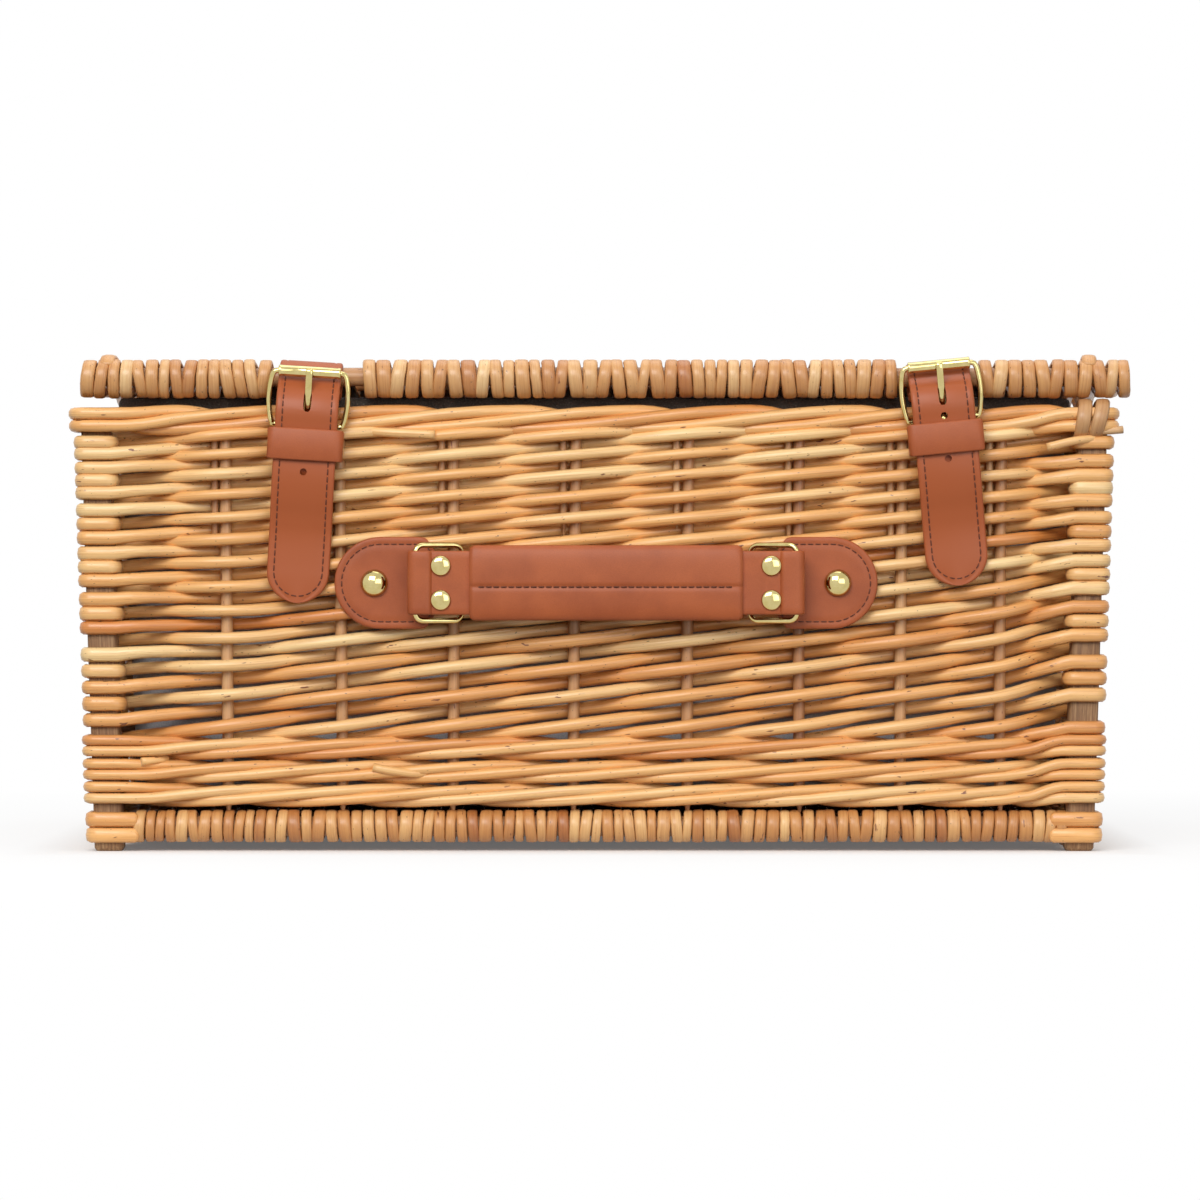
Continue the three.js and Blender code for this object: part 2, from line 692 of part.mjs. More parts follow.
function addSticks(group, { prefix, stickYs, rodRadius, stickRadius, from, to, z }) {
  const lastStick = stickYs.length - 1;
  stickYs.forEach((y, index) => {
    const edge = index === 0 || index === lastStick;
    const start = new THREE.Vector3(from, y, z);
    const end = new THREE.Vector3(to, y, z);
    const rod = rodBetween(start, end, edge ? rodRadius : stickRadius, ROD_SIDES);
    const edgeName = index === 0 ? `${prefix}_front_rod` : `${prefix}_rear_rod`;
    group.add(piece(edge ? edgeName : `${prefix}_stick_${index}`, rod, stakeWood));
  });
}

function addBase(group) {
  const stickYs = evenSpread(STAKE_PLANE_Y, BASE_STICKS);
  const reach = POST_BOTTOM_X - weaverReach - WEAVER_THICKNESS / 2 - CLEARANCE;
  addSticks(group, {
    prefix: 'base',
    stickYs,
    rodRadius: BASE_ROD_RADIUS,
    stickRadius: BASE_STICK_RADIUS,
    from: -reach,
    to: reach,
    z: baseZ,
  });
  const rowXs = Array.from({ length: BASE_ROWS }, (_, row) => BASE_ROW_PITCH * (row - (BASE_ROWS - 1) / 2));
  const weave = squareWork({
    stickYs,
    edgeReach: baseReach,
    stickReach: BASE_STICK_RADIUS + CLEARANCE + BASE_WEAVER_THICKNESS / 2,
    rowXs,
    firstRow: 0,
    width: BASE_WEAVER_WIDTH,
    thickness: BASE_WEAVER_THICKNESS,
    z: baseZ,
    slotAt: () => false,
  });
  group.add(piece('base_weave', weave, willow));
}

// Rounded rectangle at a height, as a ring of points
function roundedRing(halfX, halfY, corner, z) {
  const centres = [[1, 1], [-1, 1], [-1, -1], [1, -1]];
  return centres.flatMap(([signX, signY], quarter) => Array.from({ length: LINER_CORNER_STEPS + 1 }, (_, step) => {
    const angle = (Math.PI / 2) * (quarter + step / LINER_CORNER_STEPS);
    return new THREE.Vector3(
      signX * (halfX - corner) + corner * Math.cos(angle),
      signY * (halfY - corner) + corner * Math.sin(angle),
      z,
    );
  }));
}

function addLiner(group) {
  const inFromStakes = weaverReach + WEAVER_THICKNESS / 2 + LINER_GAP;
  const floorZ = baseTopZ + CLEARANCE;
  const topZ = BORDER_TOP_Z - LINER_TOP_DROP;
  const ring = (z, inset) => roundedRing(
    postX(z) - inFromStakes - inset,
    STAKE_PLANE_Y - inFromStakes - inset,
    LINER_CORNER - inset,
    z,
  );
  const liner = skin([
    ring(floorZ, 0),
    ring(topZ, 0),
    ring(topZ, LINER_THICKNESS),
    ring(floorZ + LINER_THICKNESS, LINER_THICKNESS),
  ]);
  group.add(piece('liner', liner, linerCloth));
  const proud = (BINDING_THICKNESS - LINER_THICKNESS) / 2;
  const seatZ = topZ + CLEARANCE;
  const binding = skin([
    ring(seatZ, -proud),
    ring(seatZ + BINDING_HEIGHT, -proud),
    ring(seatZ + BINDING_HEIGHT, LINER_THICKNESS + proud),
    ring(seatZ, LINER_THICKNESS + proud),
  ], true);
  group.add(piece('liner_binding', binding, bindingCloth));
}

function addBasket(group, frontHoles, rearHoles) {
  [['left', -1], ['right', 1]].forEach(([name, sideX]) => {
    group.add(piece(`post_front_${name}`, postSolid(sideX, FRONT), postWood));
    group.add(piece(`post_rear_${name}`, postSolid(sideX, REAR), postWood));
    group.add(piece(`stakes_${name}`, sideStakes(sideX), stakeWood));
    group.add(piece(`weave_${name}`, sideWeave(sideX), willow));
  });
  [['front', FRONT, frontHoles], ['rear', REAR, rearHoles]].forEach(([name, side, holes]) => {
    group.add(piece(`stakes_${name}`, longStakes(side, holes), stakeWood));
    group.add(piece(`weave_${name}`, longWeave(side, holes), willow));
  });
  addBase(group);
  addLiner(group);
}

// Lid

function strapAtRod(closure) {
  return closure.x + (lidZ - closure.heelZ) * Math.tan(radians(closure.tilt));
}

const strapRodXs = closures.map(strapAtRod);
const lidRowPitch = (strapRodXs[1] - strapRodXs[0]) / LID_ROWS_BETWEEN_STRAPS;
const hingeXs = [strapRodXs[0] + lidRowPitch, strapRodXs[1] - lidRowPitch];

function addLid(group) {
  const from = LID_SHIFT_X - LID_WIDTH / 2;
  const to = LID_SHIFT_X + LID_WIDTH / 2;
  const stickYs = evenSpread(LID_ROD_Y, LID_STICKS);
  addSticks(group, {
    prefix: 'lid',
    stickYs,
    rodRadius: LID_ROD_RADIUS,
    stickRadius: LID_STICK_RADIUS,
    from,
    to,
    z: lidZ,
  });
  const zeroRowX = strapRodXs[0] - lidRowPitch / 2;
  const edge = LID_WEAVER_WIDTH / 2 + LID_STICK_OVERHANG;
  const firstRow = Math.ceil((from + edge - zeroRowX) / lidRowPitch);
  const lastRow = Math.floor((to - edge - zeroRowX) / lidRowPitch);
  const rowXs = [];
  for (let row = firstRow; row <= lastRow; row += 1) {
    rowXs.push(zeroRowX + lidRowPitch * row);
  }
  const strapPairs = [0, LID_ROWS_BETWEEN_STRAPS];
  const hingePairs = [1, LID_ROWS_BETWEEN_STRAPS - 1];
  const slotAt = (row, atFront) => {
    const pairs = atFront ? strapPairs : hingePairs;
    return pairs.some((pair) => row === pair || row === pair + 1);
  };
  const weave = squareWork({
    stickYs,
    edgeReach: lidReach,
    stickReach: LID_STICK_RADIUS + CLEARANCE + LID_WEAVER_THICKNESS / 2,
    rowXs,
    firstRow,
    width: LID_WEAVER_WIDTH,
    thickness: LID_WEAVER_THICKNESS,
    z: lidZ,
    slotAt,
  });
  group.add(piece('lid_weave', weave, willow));
}

// Leather loops on the rear wall, each round the lid's bare rear rod
function addHinges(group) {
  const inner = LID_ROD_RADIUS + HINGE_LOOP_GAP;
  const radius = (inner + HINGE_LEATHER / 2) / Math.cos(radians(HINGE_LOOP_STEP / 2));
  const tailY = wallFace + hingeTailDepth;
  const path = [
    new THREE.Vector3(0, tailY, HINGE_TAIL_Z),
    new THREE.Vector3(0, tailY, BORDER_TOP_Z - BORDER_ROD_RADIUS),
  ];
  for (let angle = 0; angle < HINGE_LOOP_END; angle += HINGE_LOOP_STEP) {
    path.push(new THREE.Vector3(
      0,
      LID_ROD_Y + radius * Math.cos(radians(angle)),
      lidZ + radius * Math.sin(radians(angle)),
    ));
  }
  const section = flatSection(HINGE_WIDTH, HINGE_LEATHER);
  const loop = sweep(path, ALONG_X, () => section);
  const bored = cut(loop, [wallHole({ x: 0, z: HINGE_RIVET_Z }, REAR)]);
  ['left', 'right'].forEach((name, index) => {
    const hinge = piece(`hinge_loop_${name}`, bored, leather);
    hinge.position.x = hingeXs[index];
    group.add(hinge);
    const head = rivet(RIVET_HEAD_RADIUS, RIVET_HEAD_HEIGHT, hingeFaceDepth + CLEARANCE, -SHANK_DEPTH);
    const pin = piece(`hinge_rivet_${name}`, head, brass);
    group.add(placeOnWall(pin, hingeXs[index], HINGE_RIVET_Z, REAR));
  });
}

// Closures, each in its own frame: X across the strap, Z up the strap, depth in front of the wall face

function atDepth(x, depth, z) {
  return new THREE.Vector3(x, -(wallFace + depth), z);
}

function frontHole(z, radius) {
  const near = atDepth(0, -SHANK_DEPTH, z);
  const far = atDepth(0, HOLE_REACH, z);
  return rodBetween(near, far, radius, HOLE_SIDES);
}

function prongDepth(z) {
  return prongHeelDepth + (prongTipDepth - prongHeelDepth) * (z / BUCKLE_RISE);
}

function strapSolid(closure) {
  const rodRise = lidZ - closure.heelZ;
  const loopRadius = LID_ROD_RADIUS + STRAP_LOOP_SLACK + STRAP_THICKNESS / 2;
  const rodDepth = LID_ROD_Y - wallFace;
  const loop = STRAP_LOOP_ANGLES.map((angle) => atDepth(
    0,
    rodDepth - loopRadius * Math.cos(radians(angle)),
    rodRise + loopRadius * Math.sin(radians(angle)),
  ));
  const tailDepth = STRAP_TAIL_GAP + STRAP_THICKNESS / 2;
  const tipZ = -closure.tipDrop;
  const belowChape = -CHAPE_DROP - STRAP_THICKNESS;
  const course = new THREE.CatmullRomCurve3([
    loop[loop.length - 1],
    atDepth(0, prongDepth(PRONG_HOLE_RISE), PRONG_HOLE_RISE),
    atDepth(0, prongDepth(PRONG_HOLE_RISE / 2) + strapOverProng, PRONG_HOLE_RISE / 2),
    atDepth(0, strapHeelDepth, 0),
    atDepth(0, strapDepth, -KEEPER_TOP_DROP - KEEPER_HEIGHT / 3),
    atDepth(0, strapDepth, -CHAPE_STRAIGHT),
    atDepth(0, (strapDepth * 2 + tailDepth) / 3, belowChape),
    atDepth(0, tailDepth, tipZ + STRAP_WIDTH / 2),
  ], false, 'centripetal');
  const tipRadius = STRAP_WIDTH / 2;
  const tip = STRAP_TIP_ANGLES.map((angle) => atDepth(
    0,
    tailDepth,
    tipZ + tipRadius * (1 - Math.sin(radians(angle))),
  ));
  const straight = [...loop.slice(0, -1), ...course.getSpacedPoints(STRAP_STEPS)];
  const path = [...straight, ...tip];
  const widths = [
    ...straight.map(() => STRAP_WIDTH),
    ...STRAP_TIP_ANGLES.map((angle) => STRAP_WIDTH * Math.cos(radians(angle))),
  ];
  const band = sweep(path, ALONG_X, (index) => flatSection(widths[index], STRAP_THICKNESS));
  const slotFrom = rodDepth + loopRadius + STRAP_THICKNESS;
  const slot = new THREE.BoxGeometry(2 * STRAP_HOLE_RADIUS, HOLE_REACH, PRONG_SLOT_LENGTH);
  slot.translate(0, -(wallFace + slotFrom + HOLE_REACH / 2), PRONG_HOLE_RISE);
  const holes = [slot];
  for (let hole = 1; hole <= STRAP_LOW_HOLES; hole += 1) {
    holes.push(frontHole(PRONG_HOLE_RISE - STRAP_HOLE_PITCH * hole, STRAP_HOLE_RADIUS));
  }
  return cut(band, holes);
}

function chapeSolid() {
  const path = [
    atDepth(0, chapeClosedDepth, -CHAPE_DROP),
    atDepth(0, chapeClosedDepth, -CHAPE_STRAIGHT - 2 * CHAPE_LEATHER),
    atDepth(0, chapeFrontDepth, -CHAPE_STRAIGHT),
  ];
  const radius = heelFoldRadius / Math.cos(radians(FOLD_STEP / 2));
  for (let angle = 0; angle <= 180; angle += FOLD_STEP) {
    const reach = angle % 180 === 0 ? heelFoldRadius : radius;
    path.push(atDepth(0, heelDepth + reach * Math.cos(radians(angle)), reach * Math.sin(radians(angle))));
  }
  path.push(atDepth(0, chapeBackDepth, -CHAPE_DROP));
  const fold = sweep(path, ALONG_X, () => flatSection(CHAPE_WIDTH, CHAPE_LEATHER));
  const slotHeight = 2 * (hookRadius + PRONG_THICKNESS);
  const slot = new THREE.BoxGeometry(PRONG_WIDTH + 4 * CLEARANCE, 4 * heelDepth, slotHeight);
  slot.translate(0, -(wallFace + heelDepth), 0);
  return cut(fold, [slot, frontHole(-CHAPE_RIVET_DROP, shankHoleRadius)]);
}

// The buckle's frame lies in a plane through the heel bar and the roller's bar
const frameLean = new THREE.Vector3(0, -(ROLLER_DEPTH - heelDepth), BUCKLE_RISE).normalize();
const frameNormal = new THREE.Vector3().crossVectors(ALONG_X, frameLean);
const frameRise = Math.hypot(ROLLER_DEPTH - heelDepth, BUCKLE_RISE);

function onFrame(x, rise) {
  return atDepth(x, heelDepth, 0).addScaledVector(frameLean, rise);
}

function buckleFrame() {
  const halfOutline = (side) => BUCKLE_OUTLINE.map(({ inset, riseShare }) => onFrame(
    side * (BUCKLE_HALF_WIDTH - inset),
    frameRise * riseShare,
  ));
  const right = halfOutline(1);
  const left = halfOutline(-1).reverse();
  const section = wireSection(BUCKLE_WIRE_RADIUS, BUCKLE_WIRE_SIDES);
  return sweep([...right, ...left], frameNormal, () => section, true);
}

function rollerSolid() {
  const half = BUCKLE_HALF_WIDTH - ROLLER_INSET;
  const bore = BUCKLE_WIRE_RADIUS + CLEARANCE;
  const profile = [
    new THREE.Vector2(bore, -half),
    new THREE.Vector2(ROLLER_RADIUS, -half),
    new THREE.Vector2(ROLLER_RADIUS, half),
    new THREE.Vector2(bore, half),
    new THREE.Vector2(bore, -half),
  ];
  const tube = turned(profile, ROLLER_SEGMENTS).rotateZ(Math.PI / 2);
  const place = onFrame(0, frameRise);
  return tube.translate(place.x, place.y, place.z);
}

// The prong hooks round the heel bar and lies against the front of the roller
function prongSolid() {
  const radius = hookRadius / Math.cos(radians(FOLD_STEP / 2));
  const path = [];
  for (let angle = 180 - FOLD_STEP / 2; angle < 360 - FOLD_STEP; angle += FOLD_STEP) {
    path.push(atDepth(
      0,
      heelDepth + radius * Math.cos(radians(angle)),
      radius * Math.sin(radians(angle)),
    ));
  }
  path.push(atDepth(0, prongHeelDepth, 0));
  path.push(atDepth(0, prongDepth(BUCKLE_RISE + PRONG_OVERHANG), BUCKLE_RISE + PRONG_OVERHANG));
  return sweep(path, ALONG_X, () => flatSection(PRONG_WIDTH, PRONG_THICKNESS));
}

// The keeper goes round the strap and the front layer of the chape
function keeperSolid() {
  const reach = KEEPER_INNER_HALF_WIDTH + KEEPER_LEATHER / 2;
  const z = -KEEPER_TOP_DROP - KEEPER_HEIGHT / 2;
  const corners = [[1, keeperFrontDepth, -1], [1, heelDepth, 1]];
  const right = corners.flatMap(([side, depth, inwards]) => {
    const across = atDepth(side * (reach - KEEPER_CORNER), depth, z);
    const along = atDepth(side * reach, depth + inwards * KEEPER_CORNER, z);
    return inwards < 0 ? [across, along] : [along, across];
  });
  const left = right.map((point) => new THREE.Vector3(-point.x, point.y, point.z)).reverse();
  return sweep([...right, ...left], ALONG_Z, () => flatSection(KEEPER_HEIGHT, KEEPER_LEATHER), true);
}

function addClosure(group, closure) {
  const frame = new THREE.Group();
  frame.position.set(closure.x, 0, closure.heelZ);
  frame.rotation.y = radians(closure.tilt);
  frame.add(piece(`strap_${closure.side}`, strapSolid(closure), leather));
  frame.add(piece(`chape_${closure.side}`, chapeSolid(), leather));
  frame.add(piece(`buckle_frame_${closure.side}`, buckleFrame(), brass));
  frame.add(piece(`buckle_roller_${closure.side}`, rollerSolid(), brass));
  frame.add(piece(`buckle_prong_${closure.side}`, prongSolid(), brass));
  frame.add(piece(`keeper_${closure.side}`, keeperSolid(), leather));
  const headSeat = chapeClosedDepth + CHAPE_LEATHER / 2 + CLEARANCE;
  const head = rivet(CHAPE_HEAD_RADIUS, CHAPE_HEAD_HEIGHT, headSeat, -SHANK_DEPTH);
  const pin = piece(`chape_rivet_${closure.side}`, head, brass);
  frame.add(placeOnWall(pin, 0, -CHAPE_RIVET_DROP, FRONT));
  group.add(frame);
}

function chapeHole(closure) {
  return {
    x: closure.x - CHAPE_RIVET_DROP * Math.sin(radians(closure.tilt)),
    z: closure.heelZ - CHAPE_RIVET_DROP * Math.cos(radians(closure.tilt)),
  };
}

// Handle, in its own frame: X along the grip, Z up, depth in front of the wall face

function bandSolid() {
  const pocketEnd = BAND_RIVET_X + RIVET_HEAD_RADIUS;
  const halfEnd = [
    [pocketEnd, bandHalfGap],
    [pocketEnd + BAND_NECK, pocketHalfGap],
  ];
  const fold = [];
  for (let angle = 90; angle >= -90; angle -= FOLD_STEP) {
    fold.push([
      outerWireX + pocketHalfGap * Math.cos(radians(angle)),
      pocketHalfGap * Math.sin(radians(angle)),
    ]);
  }
  const back = [...halfEnd].reverse().map(([x, gap]) => [x, -gap]);
  const rightEnd = [...halfEnd, ...fold, ...back];
  const leftEnd = rightEnd.map(([x, gap]) => [-x, -gap]);
  const path = [...rightEnd, ...leftEnd].map(([x, gap]) => atDepth(x, bandDepth + gap, 0));
  const band = sweep(path, ALONG_Z, () => flatSection(BAND_HEIGHT, BAND_LEATHER), true);
  const holes = [];
  [-1, 1].forEach((side) => {
    [-1, 1].forEach((level) => {
      const hole = frontHole(level * BAND_RIVET_SPREAD, shankHoleRadius);
      holes.push(hole.translate(side * BAND_RIVET_X, 0, 0));
    });
  });
  return cut(band, holes);
}

function roundedRectangle(width, height, corner) {
  const shape = new THREE.Shape();
  const halfWidth = width / 2;
  const halfHeight = height / 2;
  shape.moveTo(-halfWidth + corner, -halfHeight);
  shape.lineTo(halfWidth - corner, -halfHeight);
  shape.absarc(halfWidth - corner, -halfHeight + corner, corner, -Math.PI / 2, 0);
  shape.lineTo(halfWidth, halfHeight - corner);
  shape.absarc(halfWidth - corner, halfHeight - corner, corner, 0, Math.PI / 2);
  shape.lineTo(-halfWidth + corner, halfHeight);
  shape.absarc(-halfWidth + corner, halfHeight - corner, corner, Math.PI / 2, Math.PI);
  shape.lineTo(-halfWidth, -halfHeight + corner);
  shape.absarc(-halfWidth + corner, -halfHeight + corner, corner, Math.PI, Math.PI * 1.5);
  return shape;
}

function gripSolid() {
  const outline = roundedRectangle(GRIP_DEPTH, GRIP_HEIGHT, GRIP_CORNER);
  const holeHalfDepth = bandHalfGap + BAND_LEATHER / 2 + GRIP_HOLE_GAP;
  const holeHalfHeight = BAND_HEIGHT / 2 + GRIP_HOLE_GAP;
  outline.holes.push(new THREE.Path([
    new THREE.Vector2(-holeHalfDepth, -holeHalfHeight),
    new THREE.Vector2(-holeHalfDepth, holeHalfHeight),
    new THREE.Vector2(holeHalfDepth, holeHalfHeight),
    new THREE.Vector2(holeHalfDepth, -holeHalfHeight),
  ]));
  return alongX(outline, GRIP_LENGTH).translate(0, -(wallFace + bandDepth), 0);
}

// Rectangular ring from its inner wire, held by the anchor's tongue, to its outer wire in the band's fold
function ringSolid(side) {
  const inner = atDepth(side * innerWireX, innerWireDepth, 0);
  const outer = atDepth(side * outerWireX, bandDepth, 0);
  const along = outer.clone().sub(inner);
  const reach = along.length();
  along.normalize();
  const normal = new THREE.Vector3().crossVectors(along, ALONG_Z);
  const bevel = RING_CORNER * (1 - Math.SQRT1_2);
  const quarter = (reachAt, sign) => [
    [reachAt === 0 ? 0 : reach, sign * (RING_HALF_HEIGHT - RING_CORNER)],
    [reachAt === 0 ? bevel : reach - bevel, sign * (RING_HALF_HEIGHT - bevel)],
    [reachAt === 0 ? RING_CORNER : reach - RING_CORNER, sign * RING_HALF_HEIGHT],
  ];
  const outline = [
    ...quarter(0, 1),
    ...quarter(1, 1).reverse(),
    ...quarter(1, -1),
    ...quarter(0, -1).reverse(),
  ];
  const path = outline.map(([distance, z]) => inner.clone()
    .addScaledVector(along, distance)
    .addScaledVector(ALONG_Z, z));
  return sweep(path, normal, () => wireSection(RING_WIRE_RADIUS, BUCKLE_WIRE_SIDES), true);
}

// Anchor patch with the tongue that wraps the ring's inner wire
function anchorSolid(side) {
  const radius = ANCHOR_HEIGHT / 2;
  const endX = ANCHOR_REACH - radius;
  const half = TONGUE_HEIGHT / 2;
  const outline = new THREE.Shape();
  outline.moveTo(ANCHOR_ROOT_X, -half);
  outline.lineTo(ANCHOR_NECK_X, -half);
  outline.lineTo(ANCHOR_SHOULDER_X, -radius);
  outline.lineTo(endX, -radius);
  outline.absarc(endX, 0, radius, -Math.PI / 2, Math.PI / 2);
  outline.lineTo(ANCHOR_SHOULDER_X, radius);
  outline.lineTo(ANCHOR_NECK_X, half);
  outline.lineTo(ANCHOR_ROOT_X, half);
  const plate = new THREE.ExtrudeGeometry(outline, {
    depth: ANCHOR_LEATHER,
    bevelEnabled: false,
    curveSegments: ANCHOR_CURVE_SEGMENTS,
  });
  plate.rotateX(Math.PI / 2);
  plate.translate(0, -(wallFace + CLEARANCE), 0);
  const path = [
    atDepth(ANCHOR_NECK_X, tongueDepth, 0),
    atDepth(innerWireX, tongueDepth, 0),
  ];
  const foldRadius = tongueRadius / Math.cos(radians(FOLD_STEP / 2));
  for (let angle = TONGUE_FOLD_START + FOLD_STEP / 2; angle > 90; angle -= FOLD_STEP) {
    path.push(atDepth(
      innerWireX + foldRadius * Math.cos(radians(angle)),
      innerWireDepth + foldRadius * Math.sin(radians(angle)),
      0,
    ));
  }
  path.push(atDepth(innerWireX + TONGUE_RETURN, innerWireDepth + tongueRadius, 0));
  const tongue = sweep(path, ALONG_Z, () => flatSection(TONGUE_HEIGHT, TONGUE_LEATHER));
  const hole = frontHole(0, shankHoleRadius).translate(STUD_X, 0, 0);
  const patch = cut(join([plate, tongue]), [hole]);
  return side > 0 ? patch : mirrored(patch);
}

function mirrored(geometry) {
  const copy = geometry.clone().scale(-1, 1, 1);
  return facingOut(copy);
}

function addHandle(group) {
  const frame = new THREE.Group();
  frame.position.set(HANDLE_X, 0, HANDLE_Z);
  frame.add(piece('handle_strap', bandSolid(), leather));
  frame.add(piece('handle_grip', gripSolid(), leather));
  const bandFront = bandDepth + bandHalfGap + BAND_LEATHER / 2 + CLEARANCE;
  const bandBack = bandDepth - bandHalfGap - BAND_LEATHER / 2 - CLEARANCE;
  [['left', -1], ['right', 1]].forEach(([name, side]) => {
    [['upper', 1], ['lower', -1]].forEach(([levelName, level]) => {
      const head = rivet(RIVET_HEAD_RADIUS, RIVET_HEAD_HEIGHT, bandFront, bandBack - BURR_HEIGHT, bandBack);
      const pin = piece(`handle_rivet_${name}_${levelName}`, head, brass);
      frame.add(placeOnWall(pin, side * BAND_RIVET_X, level * BAND_RIVET_SPREAD, FRONT));
    });
    frame.add(piece(`ring_${name}`, ringSolid(side), brass));
    frame.add(piece(`anchor_${name}`, anchorSolid(side), leather));
    const dome = rivet(STUD_RADIUS, STUD_HEIGHT, anchorFrontDepth + CLEARANCE, -SHANK_DEPTH);
    frame.add(placeOnWall(piece(`stud_${name}`, dome, brass), side * STUD_X, 0, FRONT));
  });
  group.add(frame);
}

const hamper = new THREE.Group();
hamper.position.y = setBack;
const studHoles = [-1, 1].map((side) => ({ x: HANDLE_X + side * STUD_X, z: HANDLE_Z }));
const frontHoles = [...studHoles, ...closures.map(chapeHole)];
const rearHoles = hingeXs.map((x) => ({ x, z: HINGE_RIVET_Z }));
addBasket(hamper, frontHoles, rearHoles);
addLid(hamper);
addHinges(hamper);
closures.forEach((closure) => addClosure(hamper, closure));
addHandle(hamper);

export default hamper;
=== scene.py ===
"""Looks of the wicker hamper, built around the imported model.

Lengths are in millimetres until a mesh is made.
"""
import math
import random

import bpy
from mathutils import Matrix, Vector


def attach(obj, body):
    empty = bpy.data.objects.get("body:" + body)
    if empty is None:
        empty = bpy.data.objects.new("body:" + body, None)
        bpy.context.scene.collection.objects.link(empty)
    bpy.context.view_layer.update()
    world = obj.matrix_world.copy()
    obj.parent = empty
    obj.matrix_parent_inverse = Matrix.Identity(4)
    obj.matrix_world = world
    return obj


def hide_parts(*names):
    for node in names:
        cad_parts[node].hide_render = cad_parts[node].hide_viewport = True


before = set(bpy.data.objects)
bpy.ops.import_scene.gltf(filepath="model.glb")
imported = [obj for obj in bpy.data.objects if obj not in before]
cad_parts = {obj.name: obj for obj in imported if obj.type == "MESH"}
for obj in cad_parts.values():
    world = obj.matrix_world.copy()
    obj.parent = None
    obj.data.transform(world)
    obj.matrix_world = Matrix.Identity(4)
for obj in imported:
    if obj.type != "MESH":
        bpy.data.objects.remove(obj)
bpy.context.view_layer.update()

MM = 0.001
X = Vector((1, 0, 0))
Y = Vector((0, 1, 0))
Z = Vector((0, 0, 1))
FORWARD = Vector((0, -1, 0))
PLAIN = 0.5
BOTH_SIDES = (("left", -1), ("right", 1))

# Basket, from the part's own sizes
SET_BACK = 5.5
STAKE_PLANE = 154.0
WALL_FACE_Y = -156.1
POST_HALF = 6.5
POST_BOTTOM_X = 213.6
POST_TOP_X = 219.6
POST_TOP_Z = 184.9
POST_Y = 151.4
POST_POWER = 5.5
POST_FOOT_SHARE = 0.86
POST_FOOT_BEVEL = 1.6
STAKE_RADIUS = 2.6
STAKE_TOP_Z = 184.5
STAKE_FULL_Z = 24
LONG_STAKE_LOW_Z = 17.2
SIDE_STAKE_LOW_Z = 3.4
TUCKED_RADIUS = 1.6
TUCKED_END_Z = 137
TUCKED_TOP_Z = 184.0
TUCKED_OFFSET = 4.9
TUCKED_DEPTH = -0.2
FRONT_STAKES = [-161.8, -111.4, -62.3, -8.5, 41.5, 90.5, 135.5, 179.3]
SIDE_STAKES = [-131.4 + 52.56 * index for index in range(6)]

# Rand: long rods that climb to the right, one spacing for two stakes
RAND_FLOOR_Z = 50.0
RAND_TOP_Z = 185.0
RAND_LOW_SPACING = 13.4
RAND_HIGH_SPACING = 8.4
RAND_LOW_RADIUS = 2.95
RAND_HIGH_RADIUS = 2.6
RAND_START = 0.4
RAND_LOWEST = -0.4
RAND_HIGHEST = 13.0
RAND_NUMBERS = range(-6, 14)
SHORT_END_DEPTH = 2.2

# Turns of the rods round the corner posts
TURN_HEIGHT = 3.08
TURN_DEPTH = 1.7
TURN_FADE = 16
LONG_TURN_SHIFT = 9
SIDE_TURN_SHIFT = 5.5
HIDDEN_END_SHIFT = 7
CORNER_ROUND = 2.2
CORNER_LOW_Z = 57.6
CORNER_STEPS = [14.4, 14.5, 11.7, 12.6, 8.2, 12.0, 6.8, 12.2, 7.6, 10.9, 6.4]
CORNER_SHIFT = {("front", -1): 0.0, ("front", 1): -3.2, ("rear", -1): -1.5, ("rear", 1): -2.4}
SIDE_CORNERS = {
    ("left", -1): ("rear", 1), ("left", 1): ("front", -1),
    ("right", -1): ("front", 1), ("right", 1): ("rear", -1),
}
TONGUE_GAPS = [0, 1, 3, 5, 7, 9]
TOP_TONGUE_Z = 179.9

# Wale under the rand, and the border on top, which is laid in the same way
WALE_BANDS = [24.6, 34.9, 45.2]
WALE_SWING = 3.05
WALE_RADIUS = 2.4
WALE_HIDDEN = 0.4
WALE_END_SPREAD = 1.2
WALE_END_LIFT = 1.3
WALE_END_FADE = 0.6
BORDER_Z = 189.8
BORDER_SWING = 4.1
BORDER_RADIUS = 2.75
BORDER_REACH = 3.4
BORDER_OVERRUN = 9
BORDER_WRAPS = [(215.0, 1.2), (222.0, 2.0)]
FOOT_STRIPS = [14.0, 7.1]
FOOT_STRIP_HEIGHT = 3.35
FOOT_STRIP_DEPTH = 1.8
FOOT_RODS = [3.5, 10.1, 16.4]

# Short rod ends that show a cut face: their points (s, d, z), radius and tone
CUT_ENDS = [
    ([(-70, 1.5, 35), (-78, 5.5, 34.2), (-90, 7.2, 35.6), (-97, 7.0, 37)], 1.9, 0.6),
    ([(-188, 1.5, 40.5), (-194, 5.2, 39.8), (-199, 7.4, 39.4)], 1.9, 0.55),
    ([(-103, 2.0, 185.2), (-88, 6.6, 184.0), (-70, 7.4, 183.2)], 2.0, 0.7),
    ([(222, 4.0, 181.6), (212, 7.8, 180.6), (199, 7.6, 177.6)], 1.9, 0.7),
]
BORDER_CUT_END = ([(216, 5.5, 184.6), (226, 6.4, 184.9), (232.5, 6.4, 185.4)], 1.7, 0.75)

